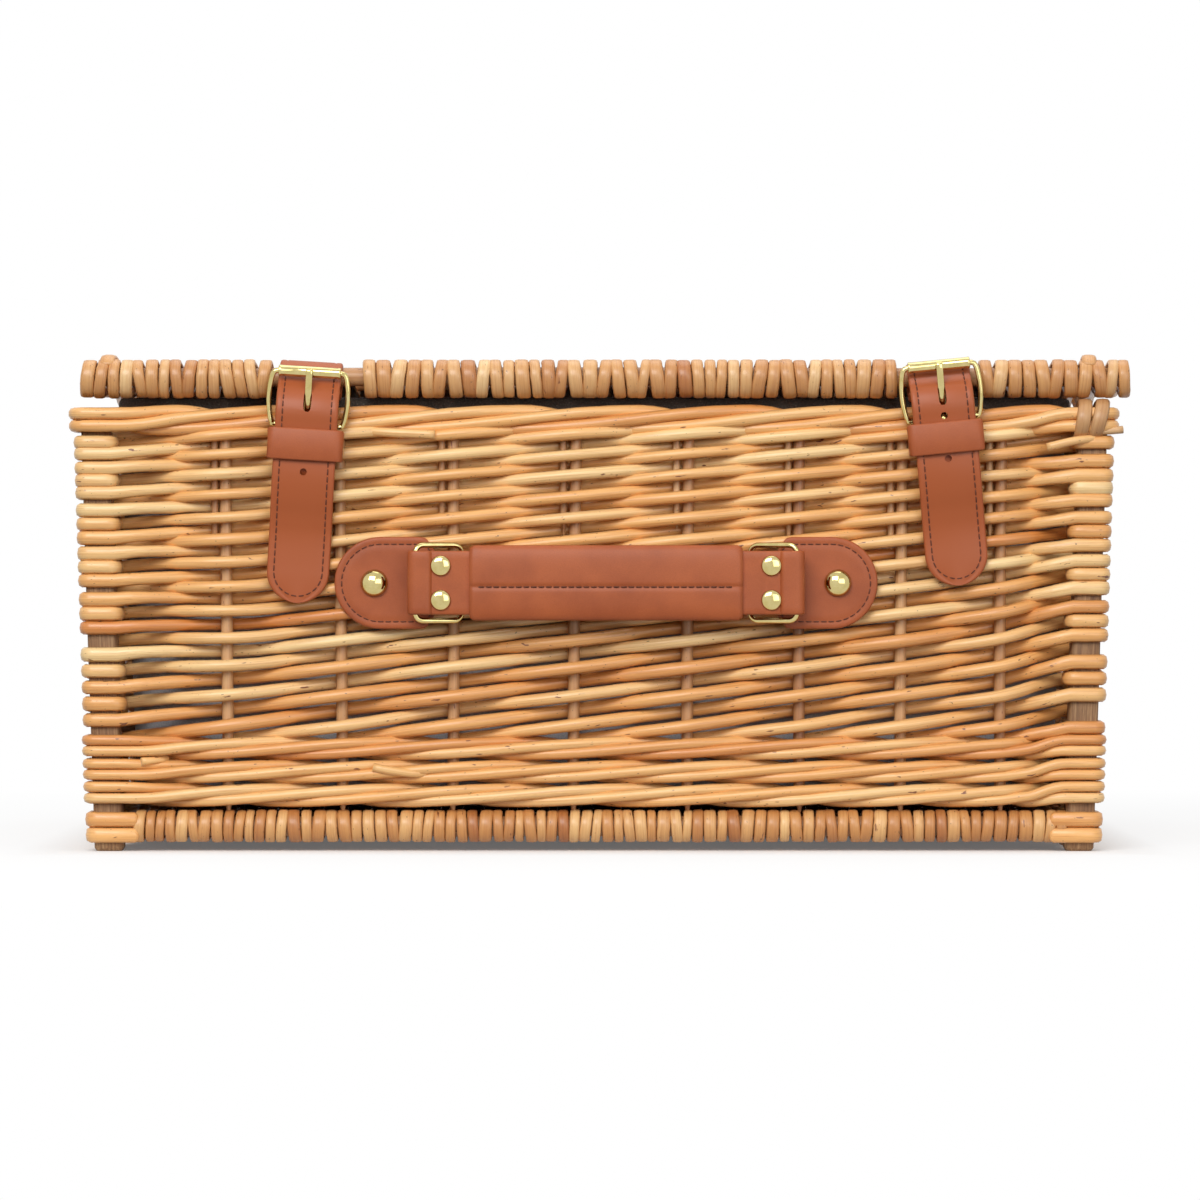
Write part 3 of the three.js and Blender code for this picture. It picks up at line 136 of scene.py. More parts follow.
# Lid and base
LID_FRONT_Y = -149.0
LID_REAR_Y = 160.0
LID_FRONT_Z = 208.8
LID_REAR_Z = 206.8
LID_FROM_X = -225.0
LID_TO_X = 233.0
LID_STICK_YS = [-87.2, -25.4, 36.4, 98.2]
LID_STRAP_GAPS = [(-142.5, -104.0), (136.0, 168.5)]
LID_HINGE_GAPS = [(-125.5, -93.3), (119.9, 152.1)]
LID_CORNER_XS = [-214.0, 218.0]
LID_CORNER_COURSE = [(-4.4, 5.6), (-2.0, 7.9), (2.0, 8.7), (8.0, 8.3), (18.0, 6.4), (32.0, 3.6), (44.0, 1.0)]
BASE_FRONT_Y = -148.5
BASE_REAR_Y = 159.5
BASE_Z = 10.9
BASE_ROD_REACH = 205.2
BASE_FROM_X = -202.5
BASE_TO_X = 204.0
BASE_STICK_YS = [-71.5, 5.5, 82.5]
STRAND_TAIL = 15
STRAND_GAP_START = 9

# Liner
LINER_POINTS = 180
LINER_ROUND = 1380
LINER_FLOOR_Z = 19.6
LINER_FLOOR_STEP = 0.8
LINER_FLOOR_FIBRE = 160.0
LINER_LOW_Z = 19.8
LINER_TOP_Z = 193.0
LINER_HEM = 25
LINER_POST_GAP = 8.1
LINER_HALF_Y = 145.9
LINER_CORNER = 24
LINER_FLOOR_CORNER = 23.5
LINER_INSETS = ((0.35, False), (1.25, True))
BINDING_Z = 196.7
BINDING_HALF_Y = 145.1
BINDING_CORNER = 23.2
BINDING_POST_GAP = 8.9

# Closures
CLOSURES = [
    {"side": "left", "x": -126.0, "heel_z": 187.0, "tilt": 3.5,
     "tip_drop": 78.0, "holes": (-4.0, -20.5), "seed": 11},
    {"side": "right", "x": 153.3, "heel_z": 190.0, "tilt": -5.5,
     "tip_drop": 73.5, "holes": (1.2, -17.7), "seed": 12},
]
GROOVE_DEPTH = 0.22
STITCH_INSET = 3.1
STRAP_HALF_WIDTH = 13.75
STRAP_FACE = 0.9
STRAP_ROD_Z = 207.3
STRAP_ROD_DEPTH = -7.1
STRAP_LOOP_RADIUS = 7.4
STRAP_SEWN_BELOW_Z = 212
STRAP_COURSE = [
    (7.15, 13.0), (9.2, 6.25), (8.5, 0.0), (7.7, -8.0), (7.6, -21.5), (6.0, -31.5), (3.4, -41.0),
    (1.7, -52.0),
]
STRAP_TIP_DEPTH = 1.6
HOLE_DEPTH = 8.0
HOLE_REACH = 6.5
HOLE_RADIUS = 1.55
PRONG_SLOT_Z = 10.7
CHAPE_FRONT = [
    (2.85, -31.5), (2.85, -26.0), (3.6, -23.2), (5.3, -20.6), (5.55, -17.0), (5.55, -8.0), (5.55, 0.0),
]
CHAPE_BACK = [(1.05, 0.0), (1.05, -10.0), (1.05, -31.5)]
KEEPER_Z = -8.6
KEEPER_HALF_WIDTH = 15.9
KEEPER_FRONT = 10.2
HEEL_DEPTH = 3.3
ROLLER_DEPTH = 5.2
ROLLER_RISE = 23.5
ROLLER_HALF_LENGTH = 13.6
ROLLER_RIM = [(1.5, 0.0), (2.0, -0.05), (2.4, 0.12), (2.5, 0.4), (2.5, 1.1), (2.42, 1.3)]
FRAME_HALF_WIDTH = 16.8
FRAME_OUTLINE = [
    (3.2, 0.0), (1.5, 0.03), (0.7, 0.09), (0.0, 0.25), (-0.5, 0.45),
    (-0.4, 0.65), (0.0, 0.8), (0.6, 0.92), (1.3, 0.98), (2.8, 1.0),
]
PRONG_COURSE = [(4.7, 3.0), (5.1, 6.5), (6.8, 11.5), (8.5, 20.5), (8.75, 23.5), (8.6, 24.6)]

# Rivets and studs
SHANK_RADIUS = 1.4
HEAD_RIM = 0.18
HEAD_SIDES = 32
FLAT_CROWN = [(0.96, 0.5), (0.88, 0.68), (0.7, 0.84), (0.45, 0.95), (0.2, 1.0), (0.03, 1.0)]

# Handle
HANDLE_X = 5.25
HANDLE_Z = 118.0
HANDLE_POCKET = [(70.0, 1.1), (76.5, 1.1), (77.1, 1.9), (77.7, 2.6), (80.4, 2.62)]
HANDLE_END_X = 83.35
BAND_DEPTH = 11.4
RIVET_X = 72.25
RIVET_Z = 7.5
STUD_X = 101.75
GRIP_HALF_LENGTH = 59.65
GRIP_HALF_HEIGHT = 16.5
GRIP_HALF_DEPTH = 4.1
GRIP_POWER = 3.4
GRIP_POINTS = 61
GRIP_END_ROUND = 2.2
GRIP_SHARES = [1.0, 0.998, 0.99, 0.97, 0.94, 0.9, 0.84, 0.76, 0.66, 0.55, 0.44, 0.33, 0.24, 0.18]
SEAM_Z = -1.8
SEAM_DEPTH = 0.5
SEAM_HALF_WIDTH = 1.1
SEAM_HALF_LENGTH = 57
SEAM_STEPS = (2.2, 1.5, 1.0, 0.6, 0.3, 0.0, -0.3, -0.6, -1.0, -1.5, -2.2)
RING_X = 63.35
RING_DEPTH = 3.45
RING_HALF_HEIGHT = 16.5
ANCHOR_RADIUS = 20.2
ANCHOR_END_X = 119.25
ANCHOR_NECK_HALF = 12.0
ANCHOR_STITCH_INSET = 3.2
ANCHOR_LAYERS = [
    (0.9, 0.3), (0.0, 0.75), (0.0, 1.6), (0.35, 2.1), (1.0, 2.3), (2.4, 2.3), (3.2, 2.08),
    (4.0, 2.3), (6.5, 2.32),
]

# Hinges on the rear wall
HINGE_XS = [-109.4, 136.0]
HINGE_TAIL_Y = 168.4
HINGE_AXIS_Z = 206.76
HINGE_RADIUS = 5.6
HINGE_COURSE = [
    (HINGE_TAIL_Y, 152.0), (HINGE_TAIL_Y, 165.0), (HINGE_TAIL_Y, 180.0), (HINGE_TAIL_Y, 192.0),
    (167.0, 196.0), (166.3, 198.16),
]
HINGE_STITCH_X = 9.9

# Stage, in metres
FLOOR_HALF_X = 0.215
FLOOR_HALF_Y = 0.155
FLOOR_FADE = 0.4
FLOOR_REACH = 9.0
WORLD_STRENGTH = 0.5
LAMPS = [
    ("key", (-0.7, -2.3, 1.5), (1.7, 1.1), 45.0),
    ("fill", (1.1, -2.3, 0.6), (1.6, 1.2), 13.0),
    ("top", (0.1, 0.2, 1.9), (1.4, 1.2), 9.0),
]
LAMP_AIM = Vector((0, 0, 0.1))
CAMERA_DISTANCE = 2.2
CAMERA_WIDTH = 0.5262
CAMERA_X = 0.0026
CAMERA_Z = 0.1105
FRONT_Y = -0.160


# Small geometry helpers

def clamp(value):
    return min(1.0, max(0.0, value))


def smooth_step(value):
    value = clamp(value)
    return value * value * (3 - 2 * value)


def mix(a, b, share):
    return a + (b - a) * share


def nearest(heights, value):
    return min(heights, key=lambda height: abs(height - value))


def post_x(z):
    return POST_BOTTOM_X + (POST_TOP_X - POST_BOTTOM_X) * z / POST_TOP_Z


def arc(centre, radius, angles, rise=None):
    """Points of a circle at angles in degrees, or of an ellipse if its radius upwards is given."""
    rise = radius if rise is None else rise
    points = []
    for angle in angles:
        a = math.radians(angle)
        points.append((centre[0] + radius * math.cos(a), centre[1] + rise * math.sin(a)))
    return points


def rounded_corners(half_x, half_y, corner, steps):
    """Points of a rectangle with round corners."""
    points = []
    for sign_x, sign_y, first in ((1, 1, 0), (-1, 1, 90), (-1, -1, 180), (1, -1, 270)):
        centre = (sign_x * (half_x - corner), sign_y * (half_y - corner))
        points += arc(centre, corner, [first + step * 90 / steps for step in range(steps + 1)])
    return points


def path_lengths(points):
    """Distance along the line at each point."""
    lengths = [0.0]
    for a, b in zip(points, points[1:]):
        lengths.append(lengths[-1] + (b - a).length)
    return lengths


def curve_through(points, step):
    """Catmull-Rom curve through the points, with a point about every step millimetres."""
    out = []
    last = len(points) - 1
    for index in range(last):
        before = points[max(index - 1, 0)]
        start = points[index]
        end = points[index + 1]
        after = points[min(index + 2, last)]
        parts = max(1, int(math.ceil((end - start).length / step)))
        for part in range(parts):
            t = part / parts
            out.append(0.5 * (
                2 * start
                + (end - before) * t
                + (2 * before - 5 * start + 4 * end - after) * t ** 2
                + (3 * start - before - 3 * end + after) * t ** 3
            ))
    out.append(points[-1].copy())
    return out


def evenly(points, count):
    """The same line with count points at equal distances."""
    lengths = path_lengths(points)
    out = []
    index = 0
    for number in range(count):
        target = lengths[-1] * number / (count - 1)
        while index < len(points) - 2 and lengths[index + 1] < target:
            index += 1
        span = lengths[index + 1] - lengths[index]
        share = (target - lengths[index]) / span if span else 0
        out.append(points[index].lerp(points[index + 1], share))
    return out


def closed_evenly(points, count):
    """The closed line through the points, as count points at equal distances."""
    return evenly(points + [points[0].copy()], count + 1)[:-1]


def oval(half_width, half_depth, sides, power=2.0):
    """Section of a rod: an ellipse, or a rounded rectangle where the power is higher."""
    points = []
    for number in range(sides):
        angle = 2 * math.pi * number / sides
        c = math.cos(angle)
        s = math.sin(angle)
        points.append((
            half_width * math.copysign(abs(c) ** (2 / power), c),
            half_depth * math.copysign(abs(s) ** (2 / power), s),
        ))
    return points


def leather_section(half_width, thickness, groove=0.0):
    """Section of a leather strip: rounded edges, and a shallow groove under each row of stitches."""
    half = thickness / 2
    edge = min(half, half_width * 0.5)
    flat = half_width - edge
    if groove and half_width > groove + 2.5:
        at = half_width - groove
        top = [(at + 0.8, half), (at, half - GROOVE_DEPTH), (at - 0.8, half), (0, half)]
    else:
        top = [(flat * 0.8, half), (flat * 0.6, half), (flat * 0.4, half), (0, half)]
    points = arc((flat, 0), edge, range(-90, 91, 45), half)
    points += top
    points += [(-x, y) for x, y in reversed(top[:-1])]
    points += arc((-flat, 0), edge, range(90, 271, 45), half)
    points.append((0, -half))
    return points


def add_object(name, data):
    obj = bpy.data.objects.new(name, data)
    bpy.context.scene.collection.objects.link(obj)
    return obj


class Piece:
    """One mesh, made of swept strands and turned shapes, with fibre coordinates, a tone and a cut mark."""

    def __init__(self, seed):
        self.rng = random.Random(seed)
        self.points = []
        self.fibres = []
        self.faces = []
        self.tones = []
        self.cuts = []
        self.slots = []

    def face(self, corners, tone=PLAIN, cut=0.0, slot=0):
        self.faces.append(corners)
        self.tones.append(tone)
        self.cuts.append(cut)
        self.slots.append(slot)

    def bridge(self, low, high, tone=PLAIN, slot=0, flip=False):
        """Faces between two rings of point numbers."""
        count = len(low)
        for number in range(count):
            after = (number + 1) % count
            corners = (low[number], low[after], high[after], high[number])
            self.face(corners[::-1] if flip else corners, tone, 0.0, slot)

    def skin(self, first, sides, loop, tone=PLAIN, slot=0, mark=0.0):
        """Faces over the rings of points added since first, closed to a loop or with a face at both ends."""
        rings = [range(start, start + sides) for start in range(first, len(self.points), sides)]
        following = rings[1:] + rings[:1] if loop else rings[1:]
        for low, high in zip(rings, following):
            self.bridge(low, high, tone, slot)
        if not loop:
            self.face(tuple(reversed(rings[0])), tone, mark, slot)
            self.face(tuple(rings[-1]), tone, mark, slot)

    def sweep(self, path, sections, across, tone=PLAIN, slot=0, loop=False, cut_ends=False, origin=None):
        """Moves one section, or one for each point, along the path.

        A section's first axis lies along across, its second is heading x across.
        """
        offset = self.rng.uniform(0, 3000) if origin is None else origin
        first = len(self.points)
        count = len(path)
        if not isinstance(sections[0], list):
            sections = [sections] * count
        along = offset
        side = across
        for index, point in enumerate(path):
            before = path[index - 1] if index or loop else path[0]
            after = path[(index + 1) % count] if index < count - 1 or loop else path[-1]
            heading = (after - before).normalized()
            flat = across - heading * across.dot(heading)
            if flat.length > 0.05:
                side = flat.normalized()
            normal = heading.cross(side).normalized()
            if index:
                along += (point - path[index - 1]).length
            for x, y in sections[index]:
                self.points.append(point + side * x + normal * y)
                self.fibres.append((along, x, y + offset * 0.37))
        self.skin(first, len(sections[0]), loop, tone, slot, 1.0 if cut_ends else 0.0)

    def rod(self, path, sizes, across, tone=PLAIN, sides=8, power=2.0, cut_ends=False, slot=0):
        """A strand with one half width and half depth, or a pair for each point.

        Its ends are domed unless they are cut.
        """
        path = list(path)
        sizes = list(sizes) if isinstance(sizes, list) else [sizes] * len(path)
        if not cut_ends:
            for at_start in (True, False):
                end = path[0] if at_start else path[-1]
                inner = path[1] if at_start else path[-2]
                outwards = (end - inner).normalized()
                width, depth = sizes[0] if at_start else sizes[-1]
                reach = min(width, depth)
                for angle in (40, 72):
                    a = math.radians(angle)
                    at = 0 if at_start else len(path)
                    path.insert(at, end + outwards * reach * math.sin(a))
                    sizes.insert(at, (width * math.cos(a), depth * math.cos(a)))
        sections = [oval(width, depth, sides, power) for width, depth in sizes]
        self.sweep(path, sections, across, tone, slot, cut_ends=cut_ends)

    def turned(self, profile, centre, axis, across, sides, loop=False):
        """Turns a profile of (radius, distance along the axis) round the axis."""
        other = axis.cross(across).normalized()
        first = len(self.points)
        for radius, distance in profile:
            for number in range(sides):
                angle = 2 * math.pi * number / sides
                out = across * math.cos(angle) + other * math.sin(angle)
                self.points.append(centre + axis * distance + out * radius)
                self.fibres.append((distance, radius * math.cos(angle), radius * math.sin(angle)))
        self.skin(first, sides, loop)

    def stitches(self, line, normal, slot=1, pitch=3.3, radius=0.3):
        """Short threads along a line that lies on the leather."""
        count = max(1, int(path_lengths(line)[-1] / pitch))
        marks = evenly(line, count * 4 + 1)
        lift = normal * radius * 0.55
        sink = normal * radius * 0.9
        sections = [oval(radius * share, radius * share, 6) for share in (0.8, 1, 1, 1, 0.8)]
        for number in range(count):
            start, near, far, end = marks[number * 4:number * 4 + 4]
            middle = near.lerp(far, 0.5)
            path = [
                start - sink, start.lerp(middle, 0.35) + lift, middle + lift * 1.2,
                end.lerp(middle, 0.35) + lift, end - sink,
            ]
            self.sweep(path, sections, normal, PLAIN, slot)

    def build(self, name, materials, body, replaces=True):
        """The object of this mesh, which takes the place of the solid of that name if it replaces one."""
        mesh = bpy.data.meshes.new(name)
        mesh.from_pydata([tuple(point * MM) for point in self.points], [], self.faces)
        fibre = mesh.attributes.new("fibre", "FLOAT_VECTOR", "POINT")
        fibre.data.foreach_set("vector", [value for item in self.fibres for value in item])
        tone = mesh.attributes.new("tone", "FLOAT", "FACE")
        tone.data.foreach_set("value", self.tones)
        cut = mesh.attributes.new("cut", "FLOAT", "FACE")
        cut.data.foreach_set("value", self.cuts)
        for material in materials:
            mesh.materials.append(material)
        mesh.polygons.foreach_set("material_index", self.slots)
        mesh.polygons.foreach_set("use_smooth", [cut_mark < 0.5 for cut_mark in self.cuts])
        mesh.update()
        obj = add_object(name, mesh)
        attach(obj, body)
        if replaces:
            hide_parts(name)
        return obj


# Materials

class Nodes:
    """The node tree of a material or a world, with short ways to add what these use."""

    def __init__(self, owner):
        self.owner = owner
        owner.use_nodes = True
        self.tree = owner.node_tree
        self.shader = self.tree.nodes.get("Principled BSDF")

    def add(self, kind, settings=None, **inputs):
        node = self.tree.nodes.new(kind)
        for key, value in (settings or {}).items():
            setattr(node, key, value)
        for key, value in inputs.items():
            self.set(node, key.replace("_", " "), value)
        return node

    def set(self, node, socket, value):
        target = node.inputs[int(socket)] if socket.isdigit() else node.inputs[socket]
        if isinstance(value, bpy.types.NodeSocket):
            self.tree.links.new(value, target)
        else:
            target.default_value = value

    def attribute(self, name, output="Fac"):
        return self.add("ShaderNodeAttribute", {"attribute_name": name}).outputs[output]

    def stretched(self, along, across):
        """Fibre coordinates, scaled along and across the strand."""
        node = self.add("ShaderNodeVectorMath", {"operation": "MULTIPLY"})
        self.set(node, "0", self.attribute("fibre", "Vector"))
        self.set(node, "1", (along, across, across))
        return node.outputs[0]

    def noise(self, vector, scale, detail=3.0, roughness=0.55):
        node = self.add("ShaderNodeTexNoise", None, Vector=vector, Scale=scale,
                        Detail=detail, Roughness=roughness)
        return node.outputs["Fac"]

    def ramp(self, value, stops):
        node = self.add("ShaderNodeValToRGB", None, Fac=value)
        ramp = node.color_ramp
        while len(ramp.elements) < len(stops):
            ramp.elements.new(0.5)
        for element, (position, shade) in zip(ramp.elements, stops):
            element.position = position
            element.color = shade
        return node.outputs["Color"]

    def math(self, operation, a, b=0.0):
        node = self.add("ShaderNodeMath", {"operation": operation})
        self.set(node, "0", a)
        self.set(node, "1", b)
        return node.outputs[0]

    def sum(self, a, b, share=1.0):
        """The first value plus a share of the second."""
        return self.math("ADD", a, b if share == 1.0 else self.math("MULTIPLY", b, share))

    def blend(self, factor, a, b, blend_type="MIX"):
        node = self.add("ShaderNodeMix", {"data_type": "RGBA", "blend_type": blend_type})
        self.set(node, "0", factor)
        self.set(node, "6", a)
        self.set(node, "7", b)
        return node.outputs[2]

    def bump(self, height, strength, distance):
        node = self.add("ShaderNodeBump", None, Height=height, Strength=strength, Distance=distance)
        self.set(self.shader, "Normal", node.outputs["Normal"])

    def seen_rays(self):
        """1 for camera rays and for what metal and glass show, 0 for the rest."""
        rays = self.add("ShaderNodeLightPath").outputs
        seen = self.math("MAXIMUM", rays["Is Camera Ray"], rays["Is Glossy Ray"])
        return self.math("MAXIMUM", seen, rays["Is Transmission Ray"])

    def finish(self, **inputs):
        for key, value in inputs.items():
            self.set(self.shader, key.replace("_", " "), value)
        return self.owner


def new_material(name):
    return Nodes(bpy.data.materials.new(name))


def colour(red, green, blue):
    """A colour written as it looks on a screen, 0 to 255."""
    def linear(value):
        value /= 255
        return value / 12.92 if value <= 0.04045 else ((value + 0.055) / 1.055) ** 2.4
    return (linear(red), linear(green), linear(blue), 1.0)


def grey(value):
    return (value, value, value, 1.0)


def willow_material(name, dark, middle, light, speckle=0.7, coat=0.35, gloss=0.38):
    n = new_material(name)
    tone = n.attribute("tone")
    patches = n.noise(n.stretched(0.018, 0.12), 1.0, 2.0)
    shifted = n.sum(tone, n.math("SUBTRACT", patches, 0.5), 0.55)
    base = n.ramp(shifted, [(0.0, dark), (0.5, middle), (1.0, light)])
    streaks = n.noise(n.stretched(0.035, 1.5), 1.0, 4.0, 0.65)
    streak_tint = n.ramp(streaks, [(0.28, colour(205, 168, 140)), (0.55, colour(255, 255, 255))])
    base = n.blend(0.55, base, streak_tint, "MULTIPLY")
    marks = n.noise(n.stretched(0.16, 0.55), 1.0, 2.0, 0.5)
    mark_mask = n.ramp(marks, [(speckle, grey(0.0)), (speckle + 0.045, grey(1.0))])
    base = n.blend(mark_mask, base, colour(122, 66, 34))
    fleck = n.noise(n.stretched(0.5, 1.1), 1.0, 1.0, 0.5)
    fleck_mask = n.ramp(fleck, [(0.745, grey(0.0)), (0.775, grey(0.75))])
    base = n.blend(fleck_mask, base, colour(84, 46, 26))
    base = n.blend(n.attribute("cut"), base, colour(226, 190, 138))
    rough = n.sum(gloss - 0.09, streaks, 0.2)
    n.bump(n.sum(streaks, marks, 0.8), 0.28, 0.0004)
    return n.finish(Base_Color=base, Roughness=rough, Coat_Weight=coat, Coat_Roughness=0.22)


def post_material():
    n = new_material("post_wood")
    grain = n.noise(n.stretched(0.05, 1.2), 1.0, 5.0, 0.7)
    stops = [(0.3, colour(104, 74, 50)), (0.5, colour(150, 114, 80)), (0.68, colour(186, 152, 114))]
    base = n.ramp(grain, stops)
    broad = n.noise(n.stretched(0.03, 0.12), 1.0, 2.0)
    broad_tint = n.ramp(broad, [(0.35, colour(205, 185, 165)), (0.65, colour(255, 250, 240))])
    base = n.blend(0.6, base, broad_tint, "MULTIPLY")
    base = n.blend(n.attribute("cut"), base, colour(168, 130, 92))
    n.bump(grain, 0.45, 0.0005)
    return n.finish(Base_Color=base, Roughness=n.sum(0.5, grain, 0.25))


def leather_material(name, main, deep):
    n = new_material(name)
    vector = n.stretched(1.0, 1.0)
    cells = n.add("ShaderNodeTexVoronoi", {"feature": "DISTANCE_TO_EDGE"}, Vector=vector, Scale=1.9)
    creases = n.ramp(cells.outputs["Distance"], [(0.0, grey(0.0)), (0.16, grey(1.0))])
    fine = n.noise(vector, 2.6, 4.0, 0.6)
    broad = n.noise(vector, 0.05, 3.0, 0.5)
    base = n.ramp(broad, [(0.3, deep), (0.62, main)])
    fine_tint = n.ramp(fine, [(0.35, colour(200, 180, 170)), (0.6, grey(1.0))])
    base = n.blend(0.28, base, fine_tint, "MULTIPLY")
    # Painted shade: the grain's creases are darkened in colour as well as bumped
    base = n.blend(0.12, base, n.blend(creases, colour(150, 110, 90), grey(1.0)), "MULTIPLY")
    n.bump(n.sum(n.math("MULTIPLY", creases, 0.5), fine, 0.6), 0.16, 0.0003)
    return n.finish(Base_Color=base, Roughness=n.sum(0.36, fine, 0.18), Specular_IOR_Level=0.34,
                    Coat_Weight=0.06, Coat_Roughness=0.3)


def thread_material():
    n = new_material("stitch_thread")
    twist = n.noise(n.stretched(2.4, 2.4), 1.0, 2.0)
    base = n.ramp(twist, [(0.3, colour(74, 36, 22)), (0.7, colour(112, 58, 36))])
    return n.finish(Base_Color=base, Roughness=0.75)


def brass_material():
    n = new_material("pale_brass")
    fine = n.noise(n.stretched(0.3, 0.3), 1.0, 2.0)
    base = n.ramp(fine, [(0.3, colour(196, 178, 116)), (0.7, colour(210, 194, 138))])
    return n.finish(Base_Color=base, Roughness=n.sum(0.08, fine, 0.05), Metallic=1.0)


def liner_material():
    n = new_material("grey_liner")
    vector = n.stretched(1.0, 1.0)
    threads = []
    for direction in ("X", "Y"):
        settings = {"bands_direction": direction}
        wave = n.add("ShaderNodeTexWave", settings, Vector=vector, Scale=0.9, Distortion=1.2)
        threads.append(wave.outputs["Fac"])
    cloth = n.math("MULTIPLY", threads[0], threads[1])
    fuzz = n.noise(vector, 1.6, 4.0, 0.7)
    mixed = n.sum(n.math("MULTIPLY", cloth, 0.35), fuzz, 0.65)
    base = n.ramp(mixed, [(0.25, colour(112, 112, 114)), (0.6, colour(168, 168, 170))])
    n.bump(n.sum(cloth, fuzz), 0.35, 0.0004)
    return n.finish(Base_Color=base, Roughness=0.92, Sheen_Weight=0.2)


def felt_material():
    n = new_material("dark_binding")
    fuzz = n.noise(n.stretched(1.0, 1.0), 1.3, 5.0, 0.75)
    stops = [(0.3, colour(44, 37, 32)), (0.6, colour(84, 73, 63)), (0.72, colour(150, 141, 130))]
    base = n.ramp(fuzz, stops)
    n.bump(fuzz, 0.8, 0.0008)
    return n.finish(Base_Color=base, Roughness=0.95, Sheen_Weight=0.4)


WILLOW = willow_material("willow_rand", colour(216, 138, 68), colour(240, 180, 108), colour(250, 214, 152))
WRAP = willow_material(
    "willow_wrap", colour(184, 118, 64), colour(212, 156, 96), colour(234, 194, 138),
    speckle=0.72, coat=0.3, gloss=0.4,
)
# Painted shade: the wrap colours made darker and more saturated for the base, against the light the white
# floor throws back on it
SHADED_BASE_WRAP = willow_material(
    "willow_base_painted_shade", colour(176, 110, 58), colour(208, 148, 86), colour(234, 188, 126),
    speckle=0.72, coat=0.25, gloss=0.42,
)
STAKE = willow_material(
    "willow_stake", colour(172, 120, 76), colour(202, 154, 104), colour(230, 190, 140),
    speckle=0.7, coat=0.2, gloss=0.45,
)
POST = post_material()
LEATHER = leather_material("tan_leather", colour(180, 94, 50), colour(162, 81, 42))
THREAD = thread_material()
BRASS = brass_material()
LINER = liner_material()
BINDING = felt_material()


# Walls

class Wall:
    """A wall in its own frame: s to the right as seen from outside, d outwards from the stakes, z up."""

    def __init__(self, name, place, stakes, post_middle, post_face, long_wall, seed):
        self.name = name
        self.place = place
        self.stakes = stakes
        self.post_middle = post_middle
        self.post_face = post_face
        self.long_wall = long_wall
        self.seed = seed
        self.count = len(stakes)
        self.ends = ((-1, -1), (1, self.count))

    def post_edge(self, end, z, outer):
        reach = self.post_middle(z) + (POST_HALF if outer else -POST_HALF)
        return end * reach

    def end_depth(self):
        """Depth at which a rod that doesn't turn round the post ends, out of sight."""
        return self.post_face - 2 * POST_HALF - 1.2 if self.long_wall else -1.0

    def knot_s(self, knot, z):
        if knot < 0:
            return self.post_edge(-1, z, False)
        if knot >= self.count:
            return self.post_edge(1, z, False)
        return self.stakes[knot]

    def at_phase(self, phase, z):
        """Distance along the wall at a phase: whole numbers are stakes, -1 and the count are the posts."""
        low = min(max(int(math.floor(phase)), -1), self.count - 1)
        return mix(self.knot_s(low, z), self.knot_s(low + 1, z), phase - low)

    def phase_from(self, end, phase):
        """How far a phase is from the post at that end."""
        return phase + 1 if end < 0 else self.count - phase

    def hook(self, end, z, half_depth, tail=7.0, straight=False):
        """Points (s, d) from the post's near edge round its outer side, to behind it or in line with it."""
        outer = self.post_edge(end, z, True)
        near = self.post_edge(end, z, False)
        face = self.post_face
        back = face - 2 * POST_HALF
        beside = outer + end * half_depth
        centre = outer - end * CORNER_ROUND
        radius = CORNER_ROUND + half_depth
        points = [(near, face + half_depth), ((near + centre) / 2, face + half_depth)]
        points += arc((centre, face - CORNER_ROUND), end * radius, (90, 67, 45, 23, 0), radius)
        if straight:
            return points + [(beside, mix(face, back, 0.5)), (beside, back - tail)]
        points.append((beside, mix(face, back, 0.55)))
        points += arc((centre, back + CORNER_ROUND), end * radius, (0, -23, -45, -67, -90), radius)
        points.append((outer - end * tail, back - half_depth))
        return points


def front_place(s, d, z):
    return Vector((s, -STAKE_PLANE - d + SET_BACK, z))


def rear_place(s, d, z):
    return Vector((-s, STAKE_PLANE + d + SET_BACK, z))


def left_place(s, d, z):
    return Vector((-post_x(z) - d, SET_BACK - s, z))


def right_place(s, d, z):
    return Vector((post_x(z) + d, SET_BACK + s, z))


def side_post_middle(z):
    return POST_Y


LONG_FACE = POST_HALF - (STAKE_PLANE - POST_Y)
WALLS = [
    Wall("front", front_place, FRONT_STAKES, post_x, LONG_FACE, True, 101),
    Wall("rear", rear_place, FRONT_STAKES, post_x, LONG_FACE, True, 202),
    Wall("left", left_place, SIDE_STAKES, side_post_middle, POST_HALF, False, 303),
    Wall("right", right_place, SIDE_STAKES, side_post_middle, POST_HALF, False, 404),
]


def rand_height(row):
    """Height of the rand at a row number: the spacing shrinks towards the top."""
    shrink = (RAND_HIGH_SPACING - RAND_LOW_SPACING) / (RAND_TOP_Z - RAND_FLOOR_Z)
    level = RAND_FLOOR_Z - RAND_LOW_SPACING / shrink
    return level + (RAND_FLOOR_Z - level) * math.exp(shrink * row)


def turn_heights(wall, end):
    """Heights at which this wall's rods turn round the post at that end."""
    corner = (wall.name, end)
    if not wall.long_wall:
        corner = SIDE_CORNERS[corner]
    heights = [CORNER_LOW_Z + CORNER_SHIFT[corner]]
    for step in CORNER_STEPS:
        heights.append(heights[-1] + step)
    if wall.long_wall:
        return heights
    return [(heights[gap] + heights[gap + 1]) / 2 for gap in TONGUE_GAPS] + [TOP_TONGUE_Z]


